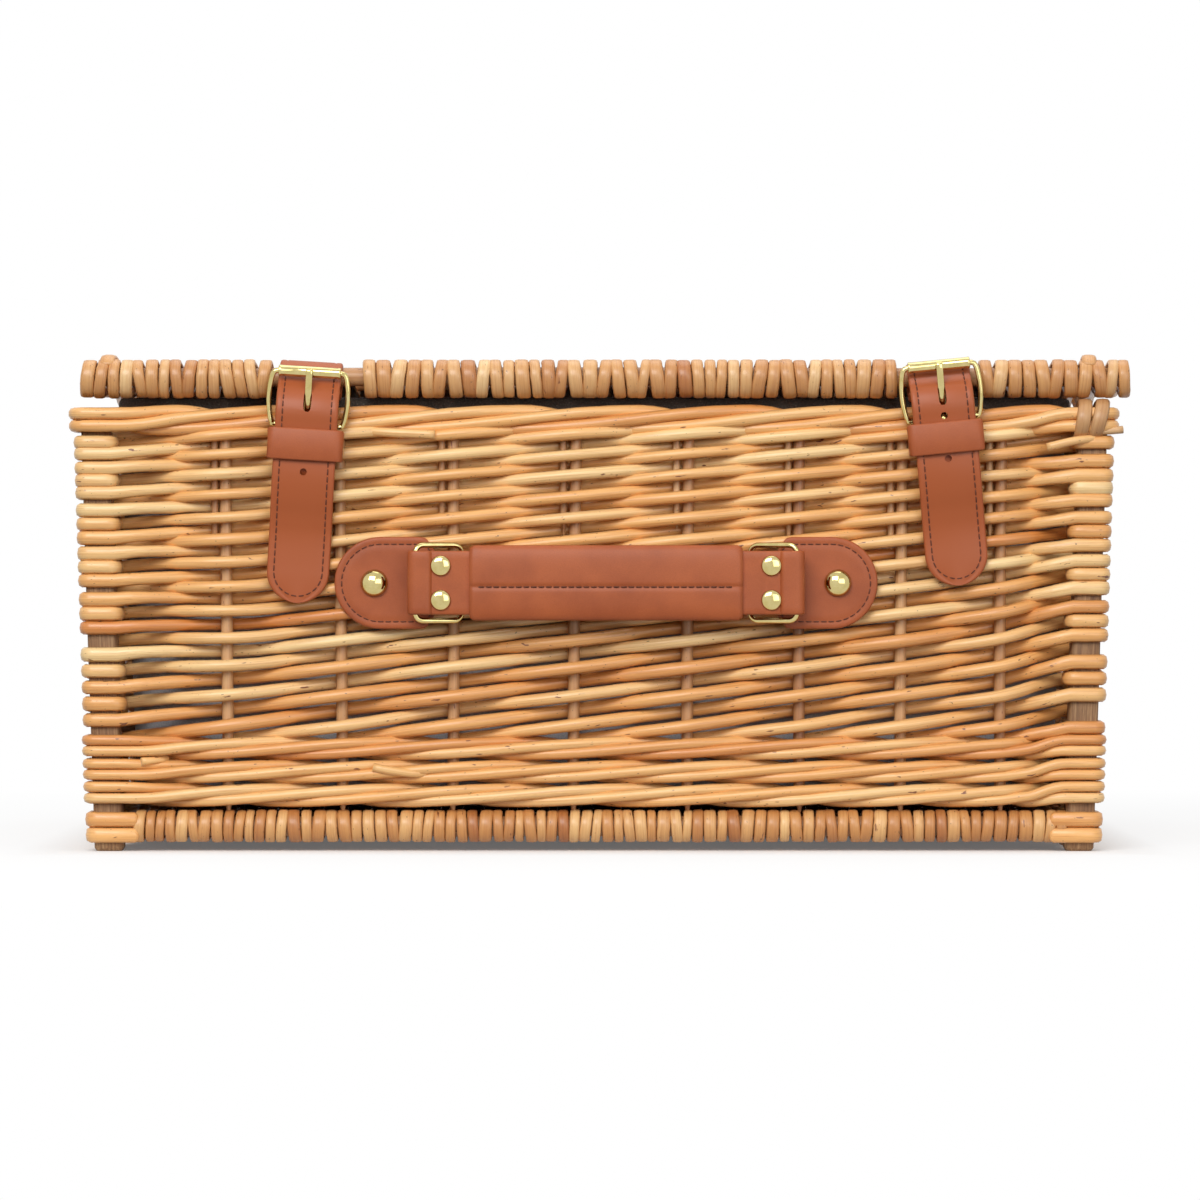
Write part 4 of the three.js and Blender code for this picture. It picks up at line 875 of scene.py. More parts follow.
class RodLine:
    """The course of one rod along a wall: a depth at each knot, and a height for each phase.

    A turn round the post at an end has a height, half sizes and points (s, d).
    """

    def __init__(self, wall, start, stop, depth_at, height_at, radius):
        self.wall = wall
        self.start = start
        self.stop = stop
        self.depth_at = depth_at
        self.height_at = height_at
        self.radius = radius
        self.turns = {}

    def points(self, step, rng):
        """The path and the half sizes along it."""
        wall = self.wall
        path = []
        sizes = []
        s_from = wall.at_phase(self.start, self.height_at(self.start))
        s_to = wall.at_phase(self.stop, self.height_at(self.stop))
        count = max(3, int(abs(s_to - s_from) / step))
        for number in range(count + 1):
            phase = self.start + (self.stop - self.start) * number / count
            z = self.height_at(phase)
            low = min(int(math.floor(phase + 1e-6)), self.stop - 1)
            share = (1 - math.cos(math.pi * (phase - low))) / 2
            d = mix(self.depth_at(low), self.depth_at(low + 1), share)
            s = wall.at_phase(phase, z)
            width = self.radius
            depth = self.radius
            for end, (_, (turn_width, turn_depth), _) in self.turns.items():
                distance = abs(s - wall.post_edge(end, z, False))
                flat = 1 - smooth_step(distance / TURN_FADE)
                width = mix(width, turn_width, flat)
                depth = mix(depth, turn_depth, flat)
            path.append((s, d, z))
            sizes.append((width, depth))
        for end, (z, size, hook) in self.turns.items():
            extra = [(s, d, z) for s, d in hook[1:]]
            if end > 0:
                path = path + extra
                sizes = sizes + [size] * len(extra)
            else:
                path = extra[::-1] + path
                sizes = [size] * len(extra) + sizes
        world = [wall.place(s, d, z) for s, d, z in path]
        return world, [(width * rng.uniform(0.97, 1.03), depth) for width, depth in sizes]


def rand_rod(wall, piece, number, group, taken):
    """One rod in front of every second stake, if enough of it lies within the rand."""
    rng = piece.rng
    last = wall.count

    def row_at(phase):
        return number + RAND_START + 0.5 * group + phase / 2

    def in_front(knot):
        return (knot - group) % 2 == 0

    inside = [knot for knot in range(-1, last + 1) if RAND_LOWEST <= row_at(knot) <= RAND_HIGHEST]
    at_right_turn = inside[-1:] == [last] and in_front(last)
    at_left_turn = inside[:1] == [-1] and in_front(-1)
    short_turn = wall.long_wall and len(inside) == 2 and (at_left_turn or at_right_turn)
    if len(inside) < 3 and not short_turn:
        return
    start = inside[0]
    stop = inside[-1]
    if start > -1 and in_front(start):
        start += 1
    if stop < last and in_front(stop):
        stop -= 1
    if stop - start < (1 if short_turn else 2):
        return
    middle_z = rand_height((row_at(start) + row_at(stop)) / 2)
    share = (middle_z - RAND_FLOOR_Z) / (RAND_TOP_Z - RAND_FLOOR_Z)
    radius = mix(RAND_LOW_RADIUS, RAND_HIGH_RADIUS, share) * rng.uniform(0.93, 1.05)
    wander = [rng.uniform(-0.35, 0.35) for _ in range(last + 3)]
    most = LONG_TURN_SHIFT if wall.long_wall else SIDE_TURN_SHIFT
    shifts = {}
    turns = {}
    for end, knot in wall.ends:
        if knot != (start if end < 0 else stop):
            continue
        nominal = rand_height(row_at(knot))
        heights = turn_heights(wall, end)
        if in_front(knot):
            free = [height for height in heights if height not in taken[end]]
            target = nearest(free, nominal) if free else math.inf
            if abs(target - nominal) <= most:
                taken[end].add(target)
                shifts[end] = target - nominal
                turns[end] = (target, (TURN_HEIGHT * rng.uniform(0.93, 1.05), TURN_DEPTH))
        elif wall.long_wall:
            target = nearest([(low + high) / 2 for low, high in zip(heights, heights[1:])], nominal)
            if abs(target - nominal) < HIDDEN_END_SHIFT:
                shifts[end] = target - nominal
    behind = SHORT_END_DEPTH if short_turn else STAKE_RADIUS + radius

    def depth_at(knot):
        if knot in (-1, last):
            return wall.post_face + TURN_DEPTH if (-1 if knot < 0 else 1) in turns else wall.end_depth()
        return STAKE_RADIUS + radius if in_front(knot) else -behind

    def height_at(phase):
        low = int(math.floor(phase))
        ripple = mix(wander[low + 1], wander[min(low + 2, last + 2)], smooth_step(phase - low))
        z = rand_height(row_at(phase)) + ripple
        for end, shift in shifts.items():
            gone = wall.phase_from(end, phase)
            fade = 1 - smooth_step(gone / 1.4)
            z += (shift - ripple * (1 - smooth_step(gone / 0.5))) * fade
        return z

    line = RodLine(wall, start, stop, depth_at, height_at, radius)
    for end, (z, size) in turns.items():
        line.turns[end] = (z, size, wall.hook(end, z, TURN_DEPTH))
    path, sizes = line.points(5.0, rng)
    piece.rod(path, sizes, Z, clamp(0.44 + 0.24 * share + rng.gauss(0, 0.2)), 8, 2.15)


def wale_height(turn, swing):
    """Height within one wale, for a rod that passes behind every third stake."""
    if turn < WALE_HIDDEN:
        return -swing * math.sin(math.pi / 2 * turn / WALE_HIDDEN)
    if turn > 3 - WALE_HIDDEN:
        return swing * math.sin(math.pi / 2 * (3 - turn) / WALE_HIDDEN)
    return -swing * math.cos(math.pi * (turn - WALE_HIDDEN) / (3 - 2 * WALE_HIDDEN))


def wale_rod(wall, piece, middle_z, order, border):
    """One rod of a wale or of the border, in front of two stakes and behind the third."""
    rng = piece.rng
    swing = BORDER_SWING if border else WALE_SWING
    radius = BORDER_RADIUS if border else WALE_RADIUS
    turn_size = (radius, radius * 0.95) if border else (radius * 0.98, radius * 0.85)
    runs_on = border and not wall.long_wall

    def turn_at(phase):
        return (phase - order) % 3

    def in_front(knot):
        return round(turn_at(knot)) % 3 != 0

    turns = {}
    for end, knot in wall.ends:
        if wall.long_wall and in_front(knot):
            rise = wale_height(turn_at(knot), swing)
            if not border:
                rise = WALE_END_LIFT + WALE_END_SPREAD * rise + rng.uniform(-0.2, 0.2)
            turns[end] = middle_z + rise

    def depth_at(knot):
        if knot in (-1, wall.count):
            if (-1 if knot < 0 else 1) in turns:
                return wall.post_face + turn_size[1]
            return 0.0 if border else wall.end_depth()
        reach = BORDER_REACH if border else STAKE_RADIUS + radius
        return reach if in_front(knot) else -reach

    def height_at(phase):
        z = middle_z + wale_height(turn_at(phase), swing)
        for end, target in turns.items():
            z = mix(z, target, 1 - smooth_step(wall.phase_from(end, phase) / WALE_END_FADE))
        return z

    start, stop = (0, wall.count - 1) if runs_on else (-1, wall.count)
    line = RodLine(wall, start, stop, depth_at, height_at, radius * rng.uniform(0.96, 1.04))
    for end, z in turns.items():
        line.turns[end] = (z, turn_size, wall.hook(end, z, turn_size[1]))
    path, sizes = line.points(4.5, rng)
    if runs_on:
        ends = [point + Y * math.copysign(BORDER_OVERRUN, point.y - SET_BACK) for point in (path[0], path[-1])]
        path = ends[:1] + path + ends[1:]
        sizes = sizes[:1] + sizes + sizes[-1:]
    tone = clamp((0.36 if border else 0.56) + rng.gauss(0, 0.16))
    piece.rod(path, sizes, Z, tone, 10 if border else 8, 2.15, slot=1 if border else 0)


def cut_end(piece, wall, points, radius, tone):
    """A short rod end that shows its cut face."""
    path = curve_through([wall.place(s, d, z) for s, d, z in points], 4)
    piece.rod(path, (radius, radius), Z, tone, 10, 2.0, cut_ends=True)


def foot_rods(wall, piece):
    """Flat rods at base height, which turn on to the front and rear of the posts, and rods between them."""
    for order, z in enumerate(FOOT_STRIPS):
        def strip_depth_at(knot):
            if knot in (-1, wall.count):
                return wall.post_face + FOOT_STRIP_DEPTH
            return (STAKE_RADIUS + 1.9) * (1 if (knot + order) % 2 == 0 else -1)

        def level_at(phase):
            return z

        line = RodLine(wall, -1, wall.count, strip_depth_at, level_at, 2.6)
        for end in (-1, 1):
            hook = wall.hook(end, z, FOOT_STRIP_DEPTH, tail=5.5, straight=True)
            line.turns[end] = (z, (FOOT_STRIP_HEIGHT, FOOT_STRIP_DEPTH), hook)
        path, sizes = line.points(4.5, piece.rng)
        piece.rod(path, sizes, Z, 0.35 + 0.15 * order, 8, 2.6)
    for order, z in enumerate(FOOT_RODS):
        def rod_depth_at(knot):
            if knot in (-1, wall.count):
                return wall.end_depth()
            return (STAKE_RADIUS + 2.2) * (1 if (knot + order) % 2 == 1 else -1)

        def ripple_at(phase):
            return z + 0.4 * math.sin(phase * 2.1)

        line = RodLine(wall, -1, wall.count, rod_depth_at, ripple_at, 2.3)
        path, sizes = line.points(4.5, piece.rng)
        piece.rod(path, sizes, Z, PLAIN, 8, 2.2)


def weave_piece(wall):
    piece = Piece(wall.seed)
    taken = {-1: set(), 1: set()}
    for group in (0, 1):
        for number in RAND_NUMBERS:
            rand_rod(wall, piece, number, group, taken)
    for order, middle_z in enumerate(WALE_BANDS):
        for number in range(3):
            wale_rod(wall, piece, middle_z, number + order, False)
    if wall.long_wall:
        for points, radius, tone in CUT_ENDS:
            cut_end(piece, wall, points, radius, tone)
    else:
        foot_rods(wall, piece)
    piece.build("weave_" + wall.name, [WILLOW], "basket")


def stakes_piece(wall):
    """The wall's stakes, a thinner tucked end beside each of them, and the border on top."""
    piece = Piece(wall.seed + 7)
    rng = piece.rng
    across = X if wall.long_wall else Y
    low_z = LONG_STAKE_LOW_Z if wall.long_wall else SIDE_STAKE_LOW_Z
    for s in wall.stakes:
        lean = rng.uniform(-0.8, 0.8)
        path = []
        sizes = []
        for number in range(19):
            z = mix(low_z, STAKE_TOP_Z, number / 18)
            bend = math.sin(z / 61 + s) * 0.5 + lean * (z / 185 - 0.5)
            path.append(wall.place(s + bend, 0, z))
            narrow = 1.0
            if wall.long_wall and z < STAKE_FULL_Z:
                narrow = mix(0.3, 1.0, (z - low_z) / (STAKE_FULL_Z - low_z))
            sizes.append((STAKE_RADIUS * narrow, STAKE_RADIUS * narrow))
        piece.rod(path, sizes, across, 0.45 + rng.gauss(0, 0.18), 10)
        path = []
        sizes = []
        end_z = TUCKED_END_Z + rng.uniform(-7, 6)
        for number in range(9):
            z = mix(end_z, TUCKED_TOP_Z, number / 8)
            path.append(wall.place(s - TUCKED_OFFSET + lean * 0.5 + math.sin(z / 40) * 0.3, TUCKED_DEPTH, z))
            narrow = mix(0.25, 1.0, smooth_step((z - end_z) / 9))
            sizes.append((TUCKED_RADIUS * narrow, TUCKED_RADIUS * narrow))
        piece.rod(path, sizes, across, 0.55 + rng.gauss(0, 0.18), 8)
    for number in range(3):
        wale_rod(wall, piece, BORDER_Z, number + 1, True)
    if wall.name == "front":
        border_wraps(wall, piece)
    piece.build("stakes_" + wall.name, [STAKE, WILLOW], "basket")


def border_wraps(wall, piece):
    """Two flat turns round the end of the border, and the cut end beside them."""
    for s, lean in BORDER_WRAPS:
        path = []
        for out, rise in arc((0, 0), 1, range(-150, 151, 20)):
            path.append(wall.place(s + lean * rise, 0.8 + 9.2 * out, BORDER_Z + 0.2 + 8.2 * rise))
        piece.rod(path, (3.2, 1.1), X, 0.45, 8, 2.6)
    points, radius, tone = BORDER_CUT_END
    cut_end(piece, wall, points, radius, tone)


def corner_posts():
    for name_x, side_x in BOTH_SIDES:
        for name_y, side_y in (("front", -1), ("rear", 1)):
            piece = Piece(500 + side_x * 3 + side_y)
            path = []
            sections = []
            for number in range(16):
                z = mix(0.0, POST_TOP_Z, number / 15)
                path.append(Vector((side_x * post_x(z), side_y * POST_Y + SET_BACK, z)))
                wobble = 1 + 0.012 * math.sin(z / 23 + side_x + 2 * side_y)
                inset = POST_FOOT_SHARE if number == 0 else 1.0
                sections.append(oval(POST_HALF * wobble * inset, POST_HALF * inset, 24, POST_POWER))
            path.insert(1, path[0] + Z * POST_FOOT_BEVEL)
            sections.insert(1, oval(POST_HALF, POST_HALF, 24, POST_POWER))
            piece.sweep(path, sections, X, cut_ends=True)
            piece.build(f"post_{name_y}_{name_x}", [POST], "basket")


# Square work of the lid and the base: strands from front to rear, over and under the sticks

def in_gap(position, gaps):
    return any(low < position < high for low, high in gaps)


def strand_places(rng, first, last, narrow, wide, gap):
    """Places and half widths of strands side by side."""
    places = []
    x = first
    while x < last:
        width = rng.triangular(narrow, wide, (narrow + wide) / 2)
        places.append((x + width / 2, width / 2))
        x += width + rng.uniform(0.15, gap)
    return places


def edge_turn(centre_y, centre_z, radius, outwards, from_top, drop=1.0):
    """Points (y, z) of a turn round an edge rod, from its inner side round the outside."""
    points = []
    for out, rise in arc((0, 0), radius, range(100, -101, -25)):
        if not from_top:
            rise = -rise
        if rise < 0:
            rise *= drop
        points.append((centre_y + outwards * out, centre_z + rise))
    return points


def square_work(piece, places, edges, level, sticks, edge_reach, stick_reach, half_depth, tilt,
                front_drop=1.0, front_gaps=(), rear_gaps=()):
    """Strands that go over and under the sticks and turn round the front and rear rods."""
    rng = piece.rng
    front_y, rear_y = edges
    tail_drop = stick_reach * 0.6
    for index, (x, half_width) in enumerate(places):
        up = 1 if index % 2 == 0 else -1
        lean = rng.uniform(-1, 1) * tilt
        turn_radius = edge_reach * rng.uniform(0.97, 1.03)
        profile = []
        if in_gap(x, front_gaps):
            profile.append((front_y + STRAND_GAP_START, level(front_y)))
        else:
            profile.append((front_y + STRAND_TAIL, level(front_y) - up * tail_drop))
            profile += edge_turn(front_y, level(front_y), turn_radius, -1, up < 0, front_drop)
        for number, stick_y in enumerate(sticks):
            side = up if number % 2 == 1 else -up
            profile.append((stick_y, level(stick_y) + side * stick_reach))
        last_side = up if len(sticks) % 2 == 1 else -up
        if in_gap(x, rear_gaps):
            profile.append((rear_y - STRAND_GAP_START, level(rear_y)))
        else:
            profile += edge_turn(rear_y, level(rear_y), turn_radius, 1, last_side > 0)
            profile.append((rear_y - STRAND_TAIL, level(rear_y) - last_side * tail_drop))
        control = []
        for y, z in profile:
            at_edge = min(abs(y - front_y), abs(y - rear_y)) < edge_reach + 1
            shift = lean * (z - level(y)) / edge_reach if at_edge else 0.0
            control.append(Vector((x + shift + rng.uniform(-0.12, 0.12), y, z)))
        path = curve_through(control, 7.0)
        sizes = []
        for point in path:
            from_edge = min(point.y - front_y, rear_y - point.y)
            apart = min(1.0, abs(point.z - level(point.y)) / stick_reach)
            spread = mix(1.0, 1.18 + 0.27 * apart, smooth_step((from_edge - 8) / 14))
            sizes.append((half_width * spread, half_depth))
        piece.rod(path, sizes, X, clamp(0.52 + rng.gauss(0, 0.2)), 10, 3.2)


def stick_pieces(part, body, seed, ys, path_at, edge_look, stick_look):
    """Front rod, inner sticks and rear rod of the lid or the base. A look is a radius and a tone."""
    names = ["front_rod"] + [f"stick_{number}" for number in range(1, len(ys) - 1)] + ["rear_rod"]
    for name, y in zip(names, ys):
        radius, tone = edge_look if name.endswith("rod") else stick_look
        piece = Piece(seed + int(y))
        piece.rod(path_at(y), (radius, radius), Y, tone, 12, 2.0, cut_ends=True)
        piece.build(f"{part}_{name}", [STAKE], body)


def lid_level(y):
    return mix(LID_FRONT_Z, LID_REAR_Z, (y - LID_FRONT_Y) / (LID_REAR_Y - LID_FRONT_Y))


def lid_stick_path(y):
    path = []
    for number in range(31):
        x = mix(LID_FROM_X, LID_TO_X, number / 30)
        path.append(Vector((x, y + math.sin(x / 37 + y) * 0.25, lid_level(y) + math.sin(x / 51 + y) * 0.2)))
    return path


def lid_pieces():
    ys = [LID_FRONT_Y] + LID_STICK_YS + [LID_REAR_Y]
    stick_pieces("lid", "lid", 610, ys, lid_stick_path, (4.1, 0.2), (3.1, 0.4))
    piece = Piece(77)
    places = strand_places(piece.rng, LID_FROM_X - 0.6, LID_TO_X - 1.5, 4.3, 6.9, 0.4)
    square_work(
        piece, places, (LID_FRONT_Y, LID_REAR_Y), lid_level, LID_STICK_YS,
        edge_reach=6.4, stick_reach=4.75, half_depth=1.45, tilt=1.1,
        front_drop=1.26, front_gaps=LID_STRAP_GAPS, rear_gaps=LID_HINGE_GAPS,
    )
    for x in LID_CORNER_XS:
        for edge_y, inwards in ((LID_FRONT_Y, 1), (LID_REAR_Y, -1)):
            control = []
            for reach, rise in LID_CORNER_COURSE:
                control.append(Vector((x + reach * 0.05, edge_y + inwards * reach, lid_level(edge_y) + rise)))
            piece.rod(curve_through(control, 4.0), (3.3, 1.3), X, PLAIN, 10, 2.6)
    piece.build("lid_weave", [WRAP], "lid")


def base_level(y):
    return BASE_Z


def base_stick_path(y):
    path = []
    for number in range(25):
        x = mix(-BASE_ROD_REACH, BASE_ROD_REACH, number / 24)
        path.append(Vector((x, y, BASE_Z + math.sin(number * 1.3) * 0.15)))
    return path


def base_pieces():
    ys = [BASE_FRONT_Y] + BASE_STICK_YS + [BASE_REAR_Y]
    stick_pieces("base", "basket", 710, ys, base_stick_path, (4.5, 0.15), (3.0, 0.15))
    piece = Piece(83)
    places = strand_places(piece.rng, BASE_FROM_X, BASE_TO_X, 3.5, 6.2, 0.45)
    square_work(
        piece, places, (BASE_FRONT_Y, BASE_REAR_Y), base_level, BASE_STICK_YS,
        edge_reach=6.0, stick_reach=4.35, half_depth=1.25, tilt=0.8,
    )
    piece.build("base_weave", [SHADED_BASE_WRAP], "basket")


# Liner: one sheet of cloth that lines the walls and the floor, with a dark binding along the rim

def rounded_ring(half_x, half_y, corner, z, count):
    points = rounded_corners(half_x, half_y, corner, 8)
    return closed_evenly([Vector((x, y + SET_BACK, z)) for x, y in points], count)


def liner_pieces():
    piece = Piece(91)
    rng = piece.rng
    count = LINER_POINTS
    levels = [LINER_LOW_Z + (LINER_TOP_Z - LINER_LOW_Z) * number / 22 for number in range(23)]
    waves = [(rng.randint(5, 21), rng.uniform(0, 6.28), rng.uniform(0.1, 0.3)) for _ in range(6)]

    def wave_at(number, level):
        angle = 2 * math.pi * number / count
        return sum(size * math.sin(turns * angle + start + level / 50) for turns, start, size in waves)

    def add_ring(points, level, spread):
        first = len(piece.points)
        piece.points += points
        piece.fibres += [(number / count * LINER_ROUND * spread, level, 0.0) for number in range(count)]
        return range(first, first + count)

    rims = []
    for inset, inner in LINER_INSETS:
        rings = []
        floor_z = LINER_FLOOR_Z + (LINER_FLOOR_STEP if inner else 0.0)
        for share in (0.02, 0.3, 0.6, 0.85):
            half_x = (post_x(floor_z) - LINER_POST_GAP - inset) * share
            half_y = (LINER_HALF_Y - inset) * share
            ring = rounded_ring(half_x, half_y, LINER_FLOOR_CORNER * share, floor_z, count)
            rings.append(add_ring(ring, -LINER_FLOOR_FIBRE * (1 - share), share))
        for level in levels:
            half_x = post_x(level) - LINER_POST_GAP - inset
            ring = rounded_ring(half_x, LINER_HALF_Y - inset, LINER_CORNER - inset, level, count)
            middle = Vector((0, SET_BACK, level))
            soft = smooth_step((level - LINER_LOW_Z) / LINER_HEM)
            soft *= smooth_step((LINER_TOP_Z - level) / LINER_HEM)
            moved = []
            for number, point in enumerate(ring):
                inwards = (middle - point).normalized()
                moved.append(point + inwards * max(0.0, 0.9 + wave_at(number, level)) * soft)
            rings.append(add_ring(moved, level, 1.0))
        for low, high in zip(rings, rings[1:]):
            piece.bridge(low, high, flip=inner)
        centre = len(piece.points)
        piece.points.append(Vector((0, SET_BACK, floor_z)))
        piece.fibres.append((0.0, -LINER_FLOOR_FIBRE, 0.0))
        for number in range(count):
            corners = (rings[0][(number + 1) % count], rings[0][number], centre)
            piece.face(corners[::-1] if inner else corners)
        rims.append(rings[-1])
    piece.bridge(rims[0], rims[1])
    liner = piece.build("liner", [LINER], "basket")

    piece = Piece(93)
    rng = piece.rng
    path = rounded_ring(post_x(196) - BINDING_POST_GAP, BINDING_HALF_Y, BINDING_CORNER, BINDING_Z, 220)
    sections = []
    for _ in path:
        width = 3.5 + rng.uniform(-0.25, 0.25)
        depth = 1.6 + rng.uniform(-0.15, 0.15)
        sections.append(oval(width, depth, 12, 2.6))
    piece.sweep(path, sections, Z, loop=True)
    binding = piece.build("liner_binding", [BINDING], "basket")


# Leather and brass of the closures

class Closure:
    """A strap and its buckle, in a frame that leans with it: x across, depth off the wall, z up."""

    def __init__(self, side, x, heel_z, tilt, tip_drop, holes, seed):
        a = math.radians(tilt)
        self.side = side
        self.x = x
        self.heel_z = heel_z
        self.tip_drop = tip_drop
        self.holes = holes
        self.seed = seed
        self.across = Vector((math.cos(a), 0, -math.sin(a)))
        self.up = Vector((math.sin(a), 0, math.cos(a)))

    def point(self, x, depth, z):
        base = Vector((self.x, WALL_FACE_Y - depth, self.heel_z))
        return base + self.across * x + self.up * z

    def line(self, course, step):
        """A curve through points (depth, z) along the strap's middle."""
        return curve_through([self.point(0, depth, z) for depth, z in course], step)

    def frame_point(self, x, rise):
        """A point of the buckle's frame, which leans out from its heel."""
        lean = Vector((0, HEEL_DEPTH - ROLLER_DEPTH, ROLLER_RISE)).normalized()
        return self.point(x, HEEL_DEPTH, 0) + Y * (lean.y * rise) + self.up * (lean.z * rise)

    def hole_tool(self, depth, z, half_width, half_height, reach):
        """A short bar with a round or long section, used to cut a hole."""
        piece = Piece(1)
        centre = self.point(0, depth, z)
        power = 2.0 if half_width == half_height else 3.2
        section = oval(half_width, half_height, 20, power)
        piece.sweep([centre - Y * reach, centre + Y * reach], section, self.across)
        mesh = bpy.data.meshes.new("hole")
        mesh.from_pydata([tuple(point * MM) for point in piece.points], [], piece.faces)
        mesh.update()
        return add_object("hole", mesh)


def cut_holes(obj, tools):
    """Cuts holes with the boolean modifier and removes the tools."""
    bpy.context.view_layer.objects.active = obj
    for number, tool in enumerate(tools):
        modifier = obj.modifiers.new("hole" + str(number), "BOOLEAN")
        modifier.object = tool
        modifier.solver = "EXACT"
        modifier.operation = "DIFFERENCE"
    graph = bpy.context.evaluated_depsgraph_get()
    shape = obj.evaluated_get(graph)
    mesh = bpy.data.meshes.new_from_object(shape, preserve_all_data_layers=True, depsgraph=graph)
    obj.modifiers.clear()
    old = obj.data
    obj.data = mesh
    mesh.name = old.name
    bpy.data.meshes.remove(old)
    mesh.set_sharp_from_angle(angle=math.radians(50))
    for tool in tools:
        data = tool.data
        bpy.data.objects.remove(tool)
        bpy.data.meshes.remove(data)


def strap_piece(closure):
    """The strap: round the lid's rod, through the buckle and down to its round tip."""
    piece = Piece(closure.seed)
    across = closure.across
    half = STRAP_HALF_WIDTH
    rod = (STRAP_ROD_DEPTH, STRAP_ROD_Z - closure.heel_z)
    course = arc(rod, STRAP_LOOP_RADIUS, range(320, 9, -10)) + STRAP_COURSE
    path = closure.line(course + [(STRAP_TIP_DEPTH, -closure.tip_drop)], 2.2)
    lengths = path_lengths(path)
    end = path[-1]
    heading = (path[-1] - path[-2]).normalized()
    path = [point for point, length in zip(path, lengths) if lengths[-1] - length > half]
    even = len(path)
    widths = [half] * even
    for angle in range(4, 89, 7):
        a = math.radians(angle)
        path.append(end - heading * half * (1 - math.sin(a)))
        widths.append(half * math.cos(a))
    sections = [leather_section(width, 2.0, STITCH_INSET) for width in widths]
    piece.sweep(path, sections, across, origin=closure.seed * 40.0)
    first = next(index for index, point in enumerate(path) if index > 20 and point.z < STRAP_SEWN_BELOW_Z)
    straight = []
    for index in range(first, even):
        normal = (path[index + 1] - path[index - 1]).normalized().cross(across).normalized()
        straight.append(path[index] + normal * STRAP_FACE)
    inset = half - STITCH_INSET
    tip = end - heading * half + FORWARD * STRAP_FACE
    line = [point + across * inset for point in straight]
    line += [tip + across * x + heading * z for x, z in arc((0, 0), inset, range(0, 181, 9))]
    line += [point - across * inset for point in reversed(straight)]
    name = "strap_" + closure.side
    strap = piece.build(name, [LEATHER], name)
    sewing = Piece(closure.seed + 5)
    sewing.stitches(line, FORWARD, 0)
    sewing.build(name + "_stitches", [THREAD], name, replaces=False)
    tools = [closure.hole_tool(HOLE_DEPTH, PRONG_SLOT_Z, 1.75, 4.9, HOLE_REACH)]
    for z in closure.holes:
        tools.append(closure.hole_tool(HOLE_DEPTH, z, HOLE_RADIUS, HOLE_RADIUS, HOLE_REACH))
    cut_holes(strap, tools)


def chape_piece(closure):
    """The folded leather that holds the buckle's heel."""
    piece = Piece(closure.seed + 20)
    fold = arc((HEEL_DEPTH, 0), 2.25, range(30, 180, 30))
    path = closure.line(CHAPE_FRONT + fold + CHAPE_BACK, 2.5)
    piece.sweep(path, leather_section(12.5, 1.5), closure.across, origin=300.0 + closure.seed)
    chape = piece.build("chape_" + closure.side, [LEATHER], "basket")
    cut_holes(chape, [closure.hole_tool(3.6, 1.0, 2.0, 4.4, 4.5)])


def keeper_piece(closure):
    """The loose loop round the strap, a little crowned in front."""
    piece = Piece(closure.seed + 30)
    room = KEEPER_FRONT - HEEL_DEPTH
    middle = (KEEPER_FRONT + HEEL_DEPTH) / 2
    corners = rounded_corners(KEEPER_HALF_WIDTH, room / 2, 1.9, 3)
    path = closed_evenly([closure.point(x, middle + depth, KEEPER_Z) for x, depth in corners], 60)
    crowned = []
    sections = []
    for point in path:
        x = (point - closure.point(0, 0, KEEPER_Z)).dot(closure.across)
        bulge = 0.35 * (1 - (x / KEEPER_HALF_WIDTH) ** 2)
        forward = smooth_step((WALL_FACE_Y - point.y - HEEL_DEPTH) / room)
        crowned.append(point - Y * bulge * forward + closure.up * mix(-1.4, 0.1, forward))
        sections.append(leather_section(mix(5.3, 7.0, forward), 1.4))
    piece.sweep(crowned, sections, closure.up, loop=True, origin=600.0 + closure.seed)
    name = "keeper_" + closure.side
    piece.build(name, [LEATHER], name)


def buckle_pieces(closure):
    """The buckle's frame, the roller on its top wire and the prong round its heel."""
    side = closure.side
    across = closure.across
    rise = math.hypot(ROLLER_DEPTH - HEEL_DEPTH, ROLLER_RISE)
    corners = [closure.frame_point(FRAME_HALF_WIDTH - inset, rise * share) for inset, share in FRAME_OUTLINE]
    for inset, share in reversed(FRAME_OUTLINE):
        corners.append(closure.frame_point(inset - FRAME_HALF_WIDTH, rise * share))
    curve = curve_through(corners[-2:] + corners + corners[:2], 1.6)
    at_start = [index for index, point in enumerate(curve) if (point - corners[0]).length < 1e-6]
    path = evenly(curve[at_start[0]:at_start[1] + 1], 73)[:-1]
    normal = across.cross((closure.frame_point(0, 1) - closure.frame_point(0, 0)).normalized())
    piece = Piece(closure.seed + 40)
    piece.sweep(path, oval(1.2, 1.2, 12), normal, loop=True)
    piece.build("buckle_frame_" + side, [BRASS], "buckle_" + side)

    piece = Piece(closure.seed + 50)
    profile = [(radius, inset - ROLLER_HALF_LENGTH) for radius, inset in ROLLER_RIM]
    profile += [(radius, ROLLER_HALF_LENGTH - inset) for radius, inset in reversed(ROLLER_RIM)]
    piece.turned(profile, closure.frame_point(0, rise), across, FORWARD, 28, loop=True)
    piece.build("buckle_roller_" + side, [BRASS], "roller_" + side)

    piece = Piece(closure.seed + 60)
    path = closure.line(arc((HEEL_DEPTH, 0), 2.05, range(150, 351, 20)) + PRONG_COURSE, 1.4)
    last = len(path) - 1
    sizes = [(1.5, mix(0.75, 0.8, index / last)) for index in range(len(path))]
    piece.rod(path, sizes, across, PLAIN, 16, 4.0, cut_ends=True)
    piece.build("buckle_prong_" + side, [BRASS], "prong_" + side)


